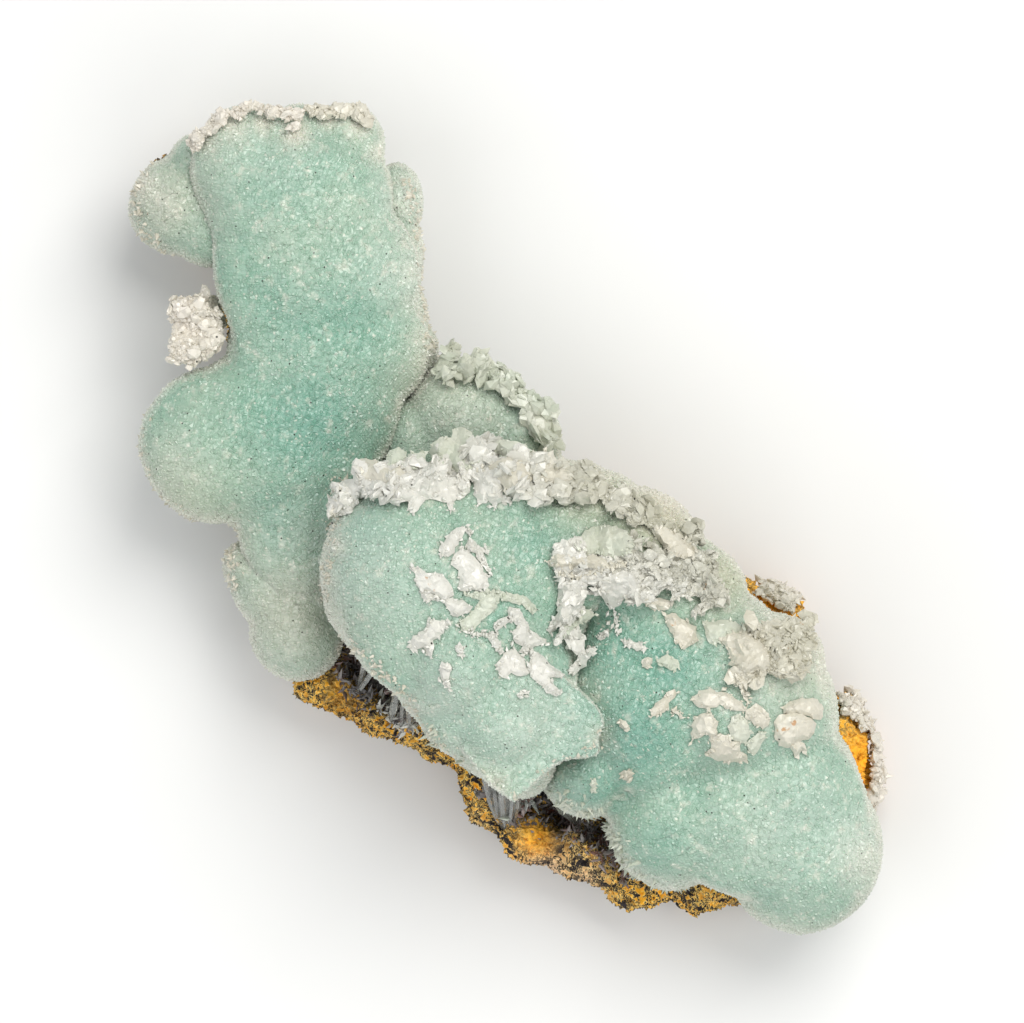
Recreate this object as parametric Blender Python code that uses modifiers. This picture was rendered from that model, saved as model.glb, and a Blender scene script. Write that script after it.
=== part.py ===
"""A calcite specimen: blue-green botryoidal calcite on limonite, overgrown by white calcite blades.

It lies on the flat broken back of its limonite, with the side that is shown facing up.
Everything is first modelled on the display plane: u runs right, v runs up and w rises towards the viewer,
in millimetres from the middle of the picture of the specimen. An empty then turns the specimen so that
its long axis lies along X, and moves it so that the middle of its base is at the origin.
"""

import math
import random

import bmesh
import bpy
from mathutils import Matrix, Vector
from mathutils.bvhtree import BVHTree

MM = 0.001
LONG_AXIS_TURN = math.radians(50.0)

# How closely the grown masses are modelled, and the gap that each keeps to what it sits on, in millimetres
LIMONITE_VOXEL = 0.75
CRUST_VOXEL = 0.7
RIM_VOXEL = 0.5
ROOM_VOXEL = 0.5
SURFACE_GAP = 0.4
# A height well above the specimen, from which its upper surface is looked for
ABOVE_ALL = 60.0
# The heights at which crystals sit on the flank of the crust, and not on top of it
TOWER_FLANK = 11.0
TOWER_BROW = 13.5
HOLLOW_FLANK = 9.0
# The base saw's side: it is larger than the specimen
SAW_SIZE = 120.0
# The crystals of a cluster stand on low mounds this far apart, which reach this far past the crystals' places
MOUND_STEP = 2.2
MOUND_HEIGHT = 0.95
MOUND_MARGIN = 0.9
# A crystal's middle lies this far above the crust, and this share of its length along its axis
CRYSTAL_LIFT = 0.45
CRYSTAL_REACH = 0.18
# How much crystals of one row differ in lean, in the turn of their flat side, and in size
LEAN_SPREAD = 0.25
TWIST_SPREAD = 0.6
SIZE_SPREAD = 0.2

# The most triangles that each solid keeps before it is cut
LIMONITE_TRIANGLES = 1200
CRUST_TRIANGLES = 2400
RIM_TRIANGLES = 160
TRIANGLES_A_CRYSTAL = 22

AQUA = (0.36, 0.62, 0.52)
PALE_GREEN = (0.62, 0.70, 0.60)
WHITE = (0.82, 0.81, 0.76)
OCHRE = (0.42, 0.22, 0.05)

# Lumps of the limonite: centre u, v, w and radii along u, v, w
LIMONITE_LUMPS = (
    # the thick rock under the main dome
    (0.0, -12.6, 4.6, 9.5, 7.0, 5.6),
    (8.5, -16.8, 4.2, 9.5, 7.6, 5.4),
    (17.0, -19.2, 3.8, 8.0, 7.6, 5.2),
    (12.5, -9.2, 3.6, 7.6, 6.0, 4.6),
    (2.5, -2.6, 3.2, 9.0, 5.6, 4.2),
    # the ochre lip that shows below the dome, from left to right
    (-13.6, -12.6, 3.4, 3.2, 2.3, 4.0),
    (-9.6, -14.7, 4.4, 2.7, 2.2, 4.4),
    (-5.4, -16.0, 4.2, 3.0, 2.0, 4.8),
    (-1.6, -20.6, 4.6, 2.4, 3.1, 4.4),
    (1.8, -23.6, 4.4, 3.2, 3.0, 4.4),
    (6.0, -25.0, 4.2, 3.4, 3.0, 4.2),
    (10.2, -27.2, 3.6, 2.8, 2.6, 4.0),
    (14.0, -27.8, 3.4, 2.8, 2.3, 3.8),
    (17.4, -28.6, 3.2, 2.0, 1.3, 2.6),
    # the right-hand edge, where orange limonite shows
    (18.8, -8.8, 3.8, 3.3, 3.0, 4.4),
    (24.2, -16.9, 3.8, 2.5, 3.3, 4.6),
    (24.9, -19.9, 3.6, 2.3, 3.0, 4.4),
    # the thin tongue behind the tower
    (-12.6, -4.4, 3.0, 5.4, 7.4, 4.0),
    (-14.6, 5.6, 2.8, 6.0, 7.0, 3.8),
    (-16.4, 15.4, 2.8, 5.0, 6.6, 3.8),
    (-19.6, 22.6, 3.0, 5.2, 3.8, 3.8),
    (-25.4, 25.4, 5.0, 1.8, 1.2, 1.8),
)

# The two hollows between the dome and the ochre lip, scooped out of the limonite
LIMONITE_HOLLOWS = (
    (-10.8, -11.4, 9.6, 2.8, 2.0, 5.6),
    (-8.2, -13.4, 9.8, 2.2, 1.6, 5.2),
    (0.6, -21.4, 9.6, 2.0, 1.5, 5.4),
    (3.8, -22.4, 9.6, 2.6, 1.5, 5.6),
    (7.2, -23.8, 9.6, 2.4, 1.5, 5.2),
)

# Lobes of the blue-green crust: centre u, v, w and radii along u, v, w
TOWER_LOBES = (
    # the head of the tower, its two knobs and the greyer lobe behind it
    (-19.2, 25.2, 10.6, 5.0, 5.3, 4.8),
    (-12.4, 27.2, 10.0, 3.1, 3.4, 4.4),
    (-15.8, 22.8, 11.0, 7.5, 6.7, 5.6),
    (-24.8, 22.7, 8.2, 3.8, 3.9, 4.4),
    (-22.2, 21.0, 8.8, 3.6, 3.0, 4.4),
    (-23.4, 26.2, 8.6, 2.2, 2.2, 3.2),
    # the body of the tower
    (-13.9, 17.6, 11.0, 7.4, 7.0, 5.4),
    (-13.6, 12.2, 10.6, 7.7, 6.0, 5.0),
    (-15.4, 7.6, 10.0, 7.4, 6.4, 5.2),
    # the round shoulder on its left
    (-21.6, 5.0, 9.6, 6.3, 6.1, 5.2),
    (-18.6, 6.6, 10.0, 6.2, 5.6, 5.2),
    # the column below and the greyish foot
    (-15.6, 1.0, 8.8, 5.6, 5.6, 4.6),
    (-15.6, -3.4, 7.8, 4.8, 4.6, 4.4),
    (-17.4, -5.0, 7.2, 3.7, 4.0, 4.2),
    (-20.2, -3.9, 7.0, 2.0, 1.8, 3.0),
    (-15.9, -8.8, 7.4, 3.7, 4.0, 4.4),
    (-15.6, -5.4, 7.4, 4.6, 4.4, 4.2),
    # wide flat ones that level its face
    (-15.6, 20.0, 12.0, 6.9, 10.4, 3.9),
    (-14.2, 12.0, 11.6, 6.8, 9.0, 3.9),
    (-17.8, 5.6, 11.2, 8.4, 6.2, 3.7),
    (-15.6, 0.0, 9.4, 5.0, 7.6, 3.6),
    # the low ledge down its right-hand side
    (-8.6, 23.0, 8.2, 2.1, 3.2, 4.2),
    (-8.5, 18.8, 8.6, 2.2, 3.4, 4.4),
    (-8.3, 14.8, 8.4, 2.1, 3.2, 4.2),
    (-7.7, 12.0, 8.0, 2.4, 2.6, 3.8),
)

BACK_LOBES = (
    # the pale lobe behind the ridge of white crystals
    (-3.4, 6.9, 8.8, 4.6, 4.8, 5.2),
    (0.6, 5.4, 8.4, 3.2, 3.8, 4.8),
    (-6.8, 5.2, 8.0, 3.2, 3.8, 4.4),
    (4.2, 1.2, 9.2, 4.4, 2.8, 4.8),
)

MAIN_LOBES = (
    # the big dome in front
    (-7.3, -4.4, 15.4, 7.1, 7.7, 8.4),
    (-1.4, -5.2, 14.6, 7.8, 8.6, 7.6),
    (-3.8, -11.0, 15.2, 5.4, 5.6, 8.4),
    (-0.6, -15.6, 15.2, 4.7, 4.6, 7.4),
    (0.8, -18.4, 13.6, 2.6, 3.0, 6.4),
    (-4.6, -6.4, 18.2, 8.4, 8.2, 4.8),
    (-1.4, -12.2, 17.4, 6.4, 7.0, 4.2),
    (1.6, -3.4, 16.8, 7.0, 5.2, 4.2),
    # under the ridge of white crystals
    (-7.8, 0.4, 14.0, 4.2, 3.4, 7.6),
    (-0.4, 0.9, 13.6, 5.6, 3.6, 7.0),
    (5.4, -0.1, 12.4, 5.0, 3.7, 6.8),
    # the slope to the upper right
    (8.4, -3.4, 12.4, 6.2, 5.6, 7.6),
    (12.4, -6.2, 11.4, 4.5, 4.2, 6.8),
    (15.4, -9.6, 11.6, 4.4, 4.4, 7.0),
    (11.2, -6.2, 14.0, 6.4, 5.0, 4.6),
    # the teal shelf below the dome's lip
    (9.6, -14.2, 11.4, 7.2, 7.0, 8.0),
    (5.6, -19.6, 10.4, 3.7, 3.2, 6.4),
    (15.4, -14.6, 11.4, 5.8, 5.8, 7.8),
    (10.6, -12.6, 14.6, 6.4, 8.6, 4.2),
    (16.2, -13.4, 14.2, 7.0, 6.2, 4.4),
    # the right-hand shoulder
    (19.9, -11.2, 11.0, 3.5, 3.8, 7.4),
    (19.9, -15.0, 10.4, 4.5, 5.4, 7.2),
    # the two lobes at the lower right
    (11.8, -22.6, 9.6, 4.9, 5.6, 6.8),
    (15.8, -22.4, 9.8, 5.0, 5.8, 6.8),
    (20.4, -20.6, 9.4, 5.6, 5.8, 7.2),
    (21.6, -24.9, 9.0, 6.1, 6.6, 6.8),
    (24.7, -25.7, 8.2, 2.9, 3.8, 5.0),
    (18.6, -22.0, 12.0, 8.0, 7.0, 4.2),
)

# The broken lip of the dome, a plate that overhangs the shelf: its outline u, v, and its two heights
DOME_LIP = (
    (-4.0, -17.6),
    (-1.6, -20.2),
    (0.1, -21.5),
    (2.4, -19.3),
    (4.0, -18.3),
    (6.2, -18.1),
    (6.6, -17.4),
    (6.3, -16.7),
    (6.9, -15.4),
    (6.4, -14.2),
    (4.6, -12.6),
    (2.2, -10.6),
    (-2.0, -12.0),
)
LIP_LOW, LIP_HIGH = 17.4, 20.6

# The pale calcite that skins the rock's edge on the right: centre u, v, w and radii
UPPER_RIM_LOBES = (
    (17.4, -6.3, 4.8, 1.4, 0.8, 2.4),
    (19.1, -5.9, 5.2, 1.6, 0.9, 2.8),
    (20.6, -6.9, 5.4, 1.1, 1.2, 2.8),
    (21.4, -8.8, 5.2, 1.0, 1.5, 2.6),
    (22.0, -10.6, 4.8, 0.9, 1.6, 2.4),
)
LOWER_RIM_LOBES = (
    (24.8, -14.4, 5.6, 1.4, 1.2, 3.0),
    (25.6, -15.9, 5.0, 1.1, 1.5, 2.8),
    (26.9, -17.9, 4.6, 0.8, 1.7, 2.4),
    (27.1, -19.9, 4.2, 0.8, 1.6, 2.2),
    (26.5, -21.8, 4.0, 0.8, 1.4, 2.2),
)

# A row of crystals has the point u, v where it starts, the point where it ends, how many crystals it holds,
# how far they stray from the line, their length, width and thickness, and how upright they stand, from 0 for
# lying to 1 for standing. A cluster is the rows that have grown into one body.
STUBBY = (2.7, 1.9, 1.3)
BLADE = (3.8, 1.9, 1.0)
CHUNKY = (4.8, 2.9, 2.3)
ROUNDED = (2.7, 2.3, 1.7)
NARROW = (3.3, 1.3, 0.8)
TINY = (1.6, 1.3, 1.0)
ROUND_PLATE = (3.0, 2.4, 0.9)
RIDGE_ROWS = (
    # the crest above the dome
    ((-12.4, 0.4), (-8.6, 3.4), 8, 0.6, STUBBY, 0.60),
    ((-9.4, 1.8), (-3.4, 2.6), 11, 1.0, STUBBY, 0.60),
    ((-5.4, 4.4), (-1.6, 4.2), 6, 0.7, STUBBY, 0.60),
    ((-3.4, 2.6), (4.2, 1.6), 12, 1.3, STUBBY, 0.50),
    # the greyer crystals down the slope behind
    ((4.4, 2.2), (9.6, -0.2), 7, 0.9, STUBBY, 0.35),
    ((9.8, -0.6), (14.2, -4.6), 7, 0.7, STUBBY, 0.35),
    # the shelf
    ((4.4, -3.6), (10.4, -5.4), 9, 1.2, BLADE, 0.30),
    ((7.6, -2.8), (14.4, -6.2), 10, 1.3, BLADE, 0.30),
    ((4.0, -5.0), (4.2, -9.0), 5, 0.5, BLADE, 0.25),
)
CENTRE_ROWS = (
    ((-4.8, -2.2), (-2.4, -6.4), 5, 0.5, BLADE, 0.20),
    ((-6.8, -5.2), (-1.6, -7.6), 7, 0.6, BLADE, 0.20),
    ((-5.9, -8.2), (-5.2, -9.8), 2, 0.3, BLADE, 0.15),
    ((-0.8, -7.4), (2.8, -11.8), 7, 0.7, BLADE, 0.20),
)
SHOULDER_ROWS = (
    ((17.2, -9.8), (21.0, -9.2), 8, 1.0, STUBBY, 0.50),
    ((17.0, -11.8), (20.6, -11.2), 6, 0.9, STUBBY, 0.40),
)
ROSETTE_ROWS = (
    ((13.4, -13.6), (17.4, -14.2), 5, 0.6, BLADE, 0.30),
    ((14.6, -14.4), (14.8, -16.4), 2, 0.4, BLADE, 0.30),
    ((13.6, -16.1), (16.8, -16.9), 5, 0.6, BLADE, 0.30),
)
DISC_ROWS = (((20.3, -15.4), (21.5, -16.0), 5, 0.6, ROUND_PLATE, 0.20),)
BACK_ROWS = (
    ((-5.0, 10.6), (-1.0, 9.8), 6, 0.5, ROUNDED, 0.40),
    ((-1.0, 9.8), (2.6, 5.4), 6, 0.5, ROUNDED, 0.40),
)
KNOB_ROWS = (((-22.4, 14.8), (-22.6, 11.2), 8, 0.9, CHUNKY, 0.85),)
TOWER_TOP_ROWS = (
    ((-23.6, 27.4), (-20.0, 29.8), 6, 0.2, TINY, 0.45),
    ((-20.0, 29.8), (-16.0, 28.8), 6, 0.2, TINY, 0.45),
)
TOWER_KNOB_ROWS = (((-14.6, 29.4), (-10.6, 29.6), 6, 0.2, TINY, 0.45),)
LEFT_HOLLOW_ROWS = (((-11.4, -11.2), (-6.8, -15.4), 7, 0.4, NARROW, 0.75),)
RIGHT_HOLLOW_ROWS = (((-1.4, -21.2), (7.6, -24.4), 9, 0.4, NARROW, 0.75),)

# Small blades that stand alone on the crust: u, v, turn in degrees, length, width
LONE_BLADES = (
    (-5.0, -11.9, 80.0, 2.4, 1.2),
    (5.4, -10.8, 45.0, 2.8, 1.1),
    (8.8, -10.2, -10.0, 2.8, 0.9),
    (10.9, -14.2, 30.0, 2.4, 1.4),
    (8.6, -19.2, 35.0, 1.6, 1.0),
)
BLADE_THICKNESS = 1.0


def clear_scene():
    for obj in list(bpy.data.objects):
        bpy.data.objects.remove(obj, do_unlink=True)


def new_collection(name):
    collection = bpy.data.collections.new(name)
    bpy.context.scene.collection.children.link(collection)
    return collection


def new_material(name, colour, roughness):
    material = bpy.data.materials.new(name)
    material.use_nodes = True
    shader = material.node_tree.nodes["Principled BSDF"]
    shader.inputs["Base Color"].default_value = (*colour, 1.0)
    shader.inputs["Roughness"].default_value = roughness
    shader.inputs["Metallic"].default_value = 0.0
    return material


def object_from(name, bm, collection, material=None):
    mesh = bpy.data.meshes.new(name)
    bm.to_mesh(mesh)
    bm.free()
    obj = bpy.data.objects.new(name, mesh)
    collection.objects.link(obj)
    if material is not None:
        mesh.materials.append(material)
    return obj


def evaluated(obj):
    """The object's mesh with its modifiers applied."""
    graph = bpy.context.evaluated_depsgraph_get()
    return bpy.data.meshes.new_from_object(obj.evaluated_get(graph))


def apply_modifiers(obj):
    mesh = evaluated(obj)
    obj.modifiers.clear()
    obj.data = mesh


def add_ball(bm, centre, radii, subdivisions=3):
    """One rounded lobe: an icosphere with its own radius along each axis."""
    placed = Matrix.Translation(Vector(centre) * MM) @ Matrix.Diagonal((*(Vector(radii) * MM), 1.0))
    bmesh.ops.create_icosphere(bm, subdivisions=subdivisions, radius=1.0, matrix=placed)


def add_plate(bm, outline, low, high):
    """A flat plate with that outline, between two heights."""
    rings = [[bm.verts.new(Vector((u, v, w)) * MM) for u, v in outline] for w in (low, high)]
    bm.faces.new(reversed(rings[0]))
    bm.faces.new(rings[1])
    for i, corner in enumerate(rings[0]):
        after = (i + 1) % len(outline)
        bm.faces.new((corner, rings[0][after], rings[1][after], rings[1][i]))


def add_relief(obj, texture_type, size, height, seed_shift):
    """Raises and lowers the surface by a procedural texture. size and height are in millimetres."""
    texture = bpy.data.textures.new(f"{obj.name}_{texture_type.lower()}", type=texture_type)
    texture.noise_scale = size * MM
    displace = obj.modifiers.new(f"relief_{texture_type.lower()}", "DISPLACE")
    displace.texture = texture
    displace.strength = height * MM
    displace.mid_level = 0.5
    guide = bpy.data.objects.new(f"{obj.name}_texture_place", None)
    guide.location = (seed_shift * MM, 0.0, 0.0)
    guide.hide_render = True
    HELPERS.objects.link(guide)
    displace.texture_coords = "OBJECT"
    displace.texture_coords_object = guide


def thin_out(obj, triangles):
    """Merges the flattest places first, until no more than so many triangles are left."""
    obj.data.calc_loop_triangles()
    thin = obj.modifiers.new("thin_out", "DECIMATE")
    thin.ratio = min(1.0, triangles / len(obj.data.loop_triangles))
    apply_modifiers(obj)


def grown_mass(name, lobes, material, voxel, smoothing, reliefs, triangles, plates=()):
    """Lobes that have grown into one another: a union by voxels, softened, roughened and thinned out."""
    bm = bmesh.new()
    for u, v, w, ru, rv, rw in lobes:
        add_ball(bm, (u, v, w), (ru, rv, rw))
    for outline, low, high in plates:
        add_plate(bm, outline, low, high)
    mass = object_from(name, bm, PARTS, material)
    remesh = mass.modifiers.new("union", "REMESH")
    remesh.mode = "VOXEL"
    remesh.voxel_size = voxel * MM
    smooth = mass.modifiers.new("soften", "SMOOTH")
    smooth.factor = 0.5
    smooth.iterations = smoothing
    for texture_type, size, height, seed_shift in reliefs:
        add_relief(mass, texture_type, size, height, seed_shift)
    apply_modifiers(mass)
    thin_out(mass, triangles)
    return mass


def room_for(obj, triangles):
    """A cutter that leaves the gap round a piece: the piece swollen by the gap, then closed into one skin."""
    bm = bmesh.new()
    bm.from_mesh(obj.data)
    cutter = as_cutter(f"{obj.name}_room", bm)
    swell = cutter.modifiers.new("swell", "DISPLACE")
    swell.strength = SURFACE_GAP * MM
    swell.mid_level = 0.0
    close = cutter.modifiers.new("close", "REMESH")
    close.mode = "VOXEL"
    close.voxel_size = ROOM_VOXEL * MM
    apply_modifiers(cutter)
    thin_out(cutter, triangles)
    return cutter


def keep_largest_body(obj):
    """Removes crumbs that a cut has parted from the piece."""
    bm = bmesh.new()
    bm.from_mesh(obj.data)
    left = set(bm.verts)
    bodies = []
    while left:
        body = {left.pop()}
        edge_of_search = list(body)
        while edge_of_search:
            vertex = edge_of_search.pop()
            for edge in vertex.link_edges:
                other = edge.other_vert(vertex)
                if other in left:
                    left.remove(other)
                    body.add(other)
                    edge_of_search.append(other)
        bodies.append(body)
    largest = max(bodies, key=len)
    crumbs = [v for v in bm.verts if v not in largest]
    bmesh.ops.delete(bm, geom=crumbs, context="VERTS")
    bm.to_mesh(obj.data)
    bm.free()


def cut_away(obj, cutters):
    for cutter in cutters:
        cut = obj.modifiers.new(f"cut_by_{cutter.name}", "BOOLEAN")
        cut.operation = "DIFFERENCE"
        cut.object = cutter
        cut.solver = "EXACT"
    apply_modifiers(obj)
    keep_largest_body(obj)


def as_cutter(name, bm, collection=None):
    cutter = object_from(name, bm, collection or HELPERS)
    cutter.hide_render = True
    cutter.display_type = "WIRE"
    return cutter


def base_saw():
    """Takes off what lies below the resting plane."""
    bm = bmesh.new()
    placed = Matrix.Translation((0, 0, -SAW_SIZE * MM / 2))
    bmesh.ops.create_cube(bm, size=SAW_SIZE * MM, matrix=placed)
    return as_cutter("base_saw", bm)


def hollow_scoops():
    scoops = []
    for number, (u, v, w, ru, rv, rw) in enumerate(LIMONITE_HOLLOWS, start=1):
        bm = bmesh.new()
        add_ball(bm, (u, v, w), (ru, rv, rw), subdivisions=2)
        scoops.append(as_cutter(f"hollow_scoop_{number}", bm))
    return scoops


def make_limonite():
    rock = grown_mass(
        "limonite_matrix",
        LIMONITE_LUMPS,
        new_material("limonite", OCHRE, 0.85),
        LIMONITE_VOXEL,
        2,
        (("CLOUDS", 3.2, 2.6, 5.0), ("CLOUDS", 1.2, 1.0, 40.0)),
        LIMONITE_TRIANGLES,
    )
    cut_away(rock, [base_saw()] + hollow_scoops())
    return rock


def make_crust(rock_room):
    crust = grown_mass(
        "aqua_calcite_crust",
        TOWER_LOBES + BACK_LOBES + MAIN_LOBES,
        new_material("aqua_calcite", AQUA, 0.5),
        CRUST_VOXEL,
        3,
        (("CLOUDS", 4.5, 0.9, 15.0), ("CLOUDS", 1.5, 0.45, 70.0)),
        CRUST_TRIANGLES,
        [(DOME_LIP, LIP_LOW, LIP_HIGH)],
    )
    cut_away(crust, [rock_room])
    return crust


def make_rim(name, lobes, material, cutters):
    rim = grown_mass(
        name,
        lobes,
        material,
        RIM_VOXEL,
        1,
        (("CLOUDS", 1.6, 0.9, 25.0),),
        RIM_TRIANGLES,
    )
    cut_away(rim, cutters)
    return rim


def surface_at(tree, u, v, height):
    """The crust's nearest point to u, v at a height, or the one seen there from above where height is None."""
    if height is None:
        point, normal, _, _ = tree.ray_cast(Vector((u, v, ABOVE_ALL)) * MM, Vector((0, 0, -1)))
    else:
        point, normal, _, _ = tree.find_nearest(Vector((u, v, height)) * MM)
    return point, normal


def add_crystal(bm, middle, axis, face, size, sides):
    """One double-pointed crystal. axis runs along it, and face is the way that its flat side looks."""
    length, width, thickness = size
    across = axis.cross(face).normalized()
    flat = axis.cross(across).normalized()
    turned = Matrix((across, flat, axis.normalized())).transposed().to_4x4()
    stretched = Matrix.Diagonal((width * MM / 2, thickness * MM / 2, length * MM / 2, 1.0))
    placed = Matrix.Translation(middle) @ turned @ stretched
    bmesh.ops.create_uvsphere(bm, u_segments=sides, v_segments=2, radius=1.0, matrix=placed)


def row_mounds(tree, start, end, spread, height):
    """The low mounds that a row's crystals stand on, which join them into one body."""
    mounds = []
    count = max(2, round((Vector(end) - Vector(start)).length / MOUND_STEP) + 1)
    for i in range(count):
        u, v = Vector(start).lerp(Vector(end), i / (count - 1))
        point, normal = surface_at(tree, u, v, height)
        turned = normal.to_track_quat("Z", "Y").to_matrix().to_4x4()
        stretched = Matrix.Diagonal((spread * MM, spread * MM, MOUND_HEIGHT * MM, 1.0))
        placed = Matrix.Translation(point) @ turned @ stretched
        bm = bmesh.new()
        bmesh.ops.create_icosphere(bm, subdivisions=1, radius=1.0, matrix=placed)
        mounds.append(bm)
    return mounds


def row_crystals(tree, draw, row, sides, height):
    """A row's crystals, each a little different from the next in place, turn, lean and size."""
    start, end, count, stray, size, upright = row
    crystals = []
    for i in range(count):
        u, v = Vector(start).lerp(Vector(end), (i + 0.5) / count)
        u += draw.uniform(-stray, stray)
        v += draw.uniform(-stray, stray)
        point, normal = surface_at(tree, u, v, height)
        heading = draw.uniform(0, 2 * math.pi)
        lying = Vector((math.cos(heading), math.sin(heading), 0.0))
        lying = (lying - normal * lying.dot(normal)).normalized()
        lean = min(1.0, max(0.0, upright + draw.uniform(-LEAN_SPREAD, LEAN_SPREAD)))
        axis = (lying * (1.0 - lean) + normal * lean).normalized()
        face = (normal + lying * draw.uniform(-TWIST_SPREAD, TWIST_SPREAD)).normalized()
        scale = 1.0 + draw.uniform(-SIZE_SPREAD, SIZE_SPREAD)
        crystal = tuple(part * scale for part in size)
        middle = point + (normal * CRYSTAL_LIFT + axis * CRYSTAL_REACH * crystal[0]) * MM
        bm = bmesh.new()
        add_crystal(bm, middle, axis, face, crystal, sides)
        crystals.append(bm)
    return crystals


def make_cluster(name, seed, rows, sides, material, tree, cutters, height=None):
    """Crystals that have grown together, in rows along the surface of the crust."""
    draw = random.Random(seed)
    pieces = []
    for row in rows:
        start, end, _, stray, _, _ = row
        pieces += row_mounds(tree, start, end, stray + MOUND_MARGIN, height)
        pieces += row_crystals(tree, draw, row, sides, height)
    cluster = object_from(name, pieces[0], PARTS, material)
    others = new_collection(f"{name}_crystals")
    for number, bm in enumerate(pieces[1:], start=1):
        as_cutter(f"{name}_crystal_{number}", bm, others)
    join = cluster.modifiers.new("join", "BOOLEAN")
    join.operation = "UNION"
    join.operand_type = "COLLECTION"
    join.collection = others
    join.solver = "EXACT"
    cut_away(cluster, cutters)
    thin_out(cluster, TRIANGLES_A_CRYSTAL * sum(row[2] for row in rows))
    return cluster


def make_lone_blade(name, blade, material, tree, cutters):
    u, v, turn, length, width = blade
    point, normal = surface_at(tree, u, v, None)
    heading = Vector((math.cos(math.radians(turn)), math.sin(math.radians(turn)), 0.0))
    axis = (heading - normal * heading.dot(normal)).normalized()
    bm = bmesh.new()
    size = (length, width, BLADE_THICKNESS)
    add_crystal(bm, point + normal * CRYSTAL_LIFT * MM, axis, normal, size, sides=6)
    blade = object_from(name, bm, PARTS, material)
    cut_away(blade, cutters)
    return blade


def stand_on_origin():
    """Turns the long axis along X and puts the middle of the specimen's base at the origin."""
    holder = bpy.data.objects.new("specimen", None)
    PARTS.objects.link(holder)
    turn = Matrix.Rotation(LONG_AXIS_TURN, 4, "Z")
    solids = [obj for obj in PARTS.objects if obj.type == "MESH"]
    corners = [turn @ vertex.co for solid in solids for vertex in solid.data.vertices]
    low = Vector(min(c[i] for c in corners) for i in range(3))
    high = Vector(max(c[i] for c in corners) for i in range(3))
    holder.rotation_euler = (0.0, 0.0, LONG_AXIS_TURN)
    holder.location = (-(low.x + high.x) / 2, -(low.y + high.y) / 2, -low.z)
    for solid in solids:
        solid.parent = holder


def search_tree(obj):
    """The piece's faces, sorted so that a nearby point on them is found quickly."""
    bm = bmesh.new()
    bm.from_mesh(obj.data)
    tree = BVHTree.FromBMesh(bm)
    bm.free()
    return tree


def build():
    rock = make_limonite()
    rock_room = room_for(rock, LIMONITE_TRIANGLES)
    crust = make_crust(rock_room)
    crust_room = room_for(crust, CRUST_TRIANGLES)
    both = [rock_room, crust_room]
    pale = new_material("pale_calcite", PALE_GREEN, 0.4)
    white = new_material("white_calcite", WHITE, 0.35)
    make_rim("edge_calcite_upper", UPPER_RIM_LOBES, pale, both)
    make_rim("edge_calcite_lower", LOWER_RIM_LOBES, pale, both)
    tree = search_tree(crust)
    on_crust = [crust_room]
    make_cluster("white_crystal_ridge", 11, RIDGE_ROWS, 5, white, tree, on_crust)
    make_cluster("white_crystal_blades", 31, CENTRE_ROWS, 4, white, tree, on_crust)
    make_cluster("white_crystal_shoulder", 53, SHOULDER_ROWS, 5, white, tree, on_crust)
    make_cluster("white_crystal_rosette", 61, ROSETTE_ROWS, 4, white, tree, on_crust)
    make_cluster("white_crystal_disc", 71, DISC_ROWS, 6, white, tree, on_crust)
    make_cluster("pale_crystals_back", 83, BACK_ROWS, 6, pale, tree, on_crust)
    make_cluster("white_crystal_knob", 97, KNOB_ROWS, 6, white, tree, on_crust, TOWER_FLANK)
    make_cluster("tower_top_crystals", 103, TOWER_TOP_ROWS, 5, pale, tree, on_crust, TOWER_BROW)
    make_cluster("tower_knob_crystals", 107, TOWER_KNOB_ROWS, 5, pale, tree, on_crust, TOWER_BROW)
    make_cluster("left_hollow_crystals", 113, LEFT_HOLLOW_ROWS, 4, white, tree, both, HOLLOW_FLANK)
    make_cluster("right_hollow_crystals", 127, RIGHT_HOLLOW_ROWS, 4, white, tree, both, HOLLOW_FLANK)
    for number, blade in enumerate(LONE_BLADES, start=1):
        make_lone_blade(f"lone_blade_{number}", blade, white, tree, on_crust)
    stand_on_origin()


clear_scene()
PARTS = new_collection("calcite_specimen")
HELPERS = new_collection("cutters_and_guides")
build()
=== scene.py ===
# %% [markdown]
# # A calcite specimen, seen from above
# Blue-green calcite has grown in round lobes over rusty limonite, and a second growth of white calcite
# blades sits on it. The solid model of the specimen is loaded first. It is the frame that every piece here
# is fitted to: each piece grows from one of its solids and stays inside its box.

# %% Load the frame
import math

import bmesh
import bpy
import numpy as np
from mathutils import Euler, Matrix, Vector, geometry, noise
from mathutils.bvhtree import BVHTree


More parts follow.
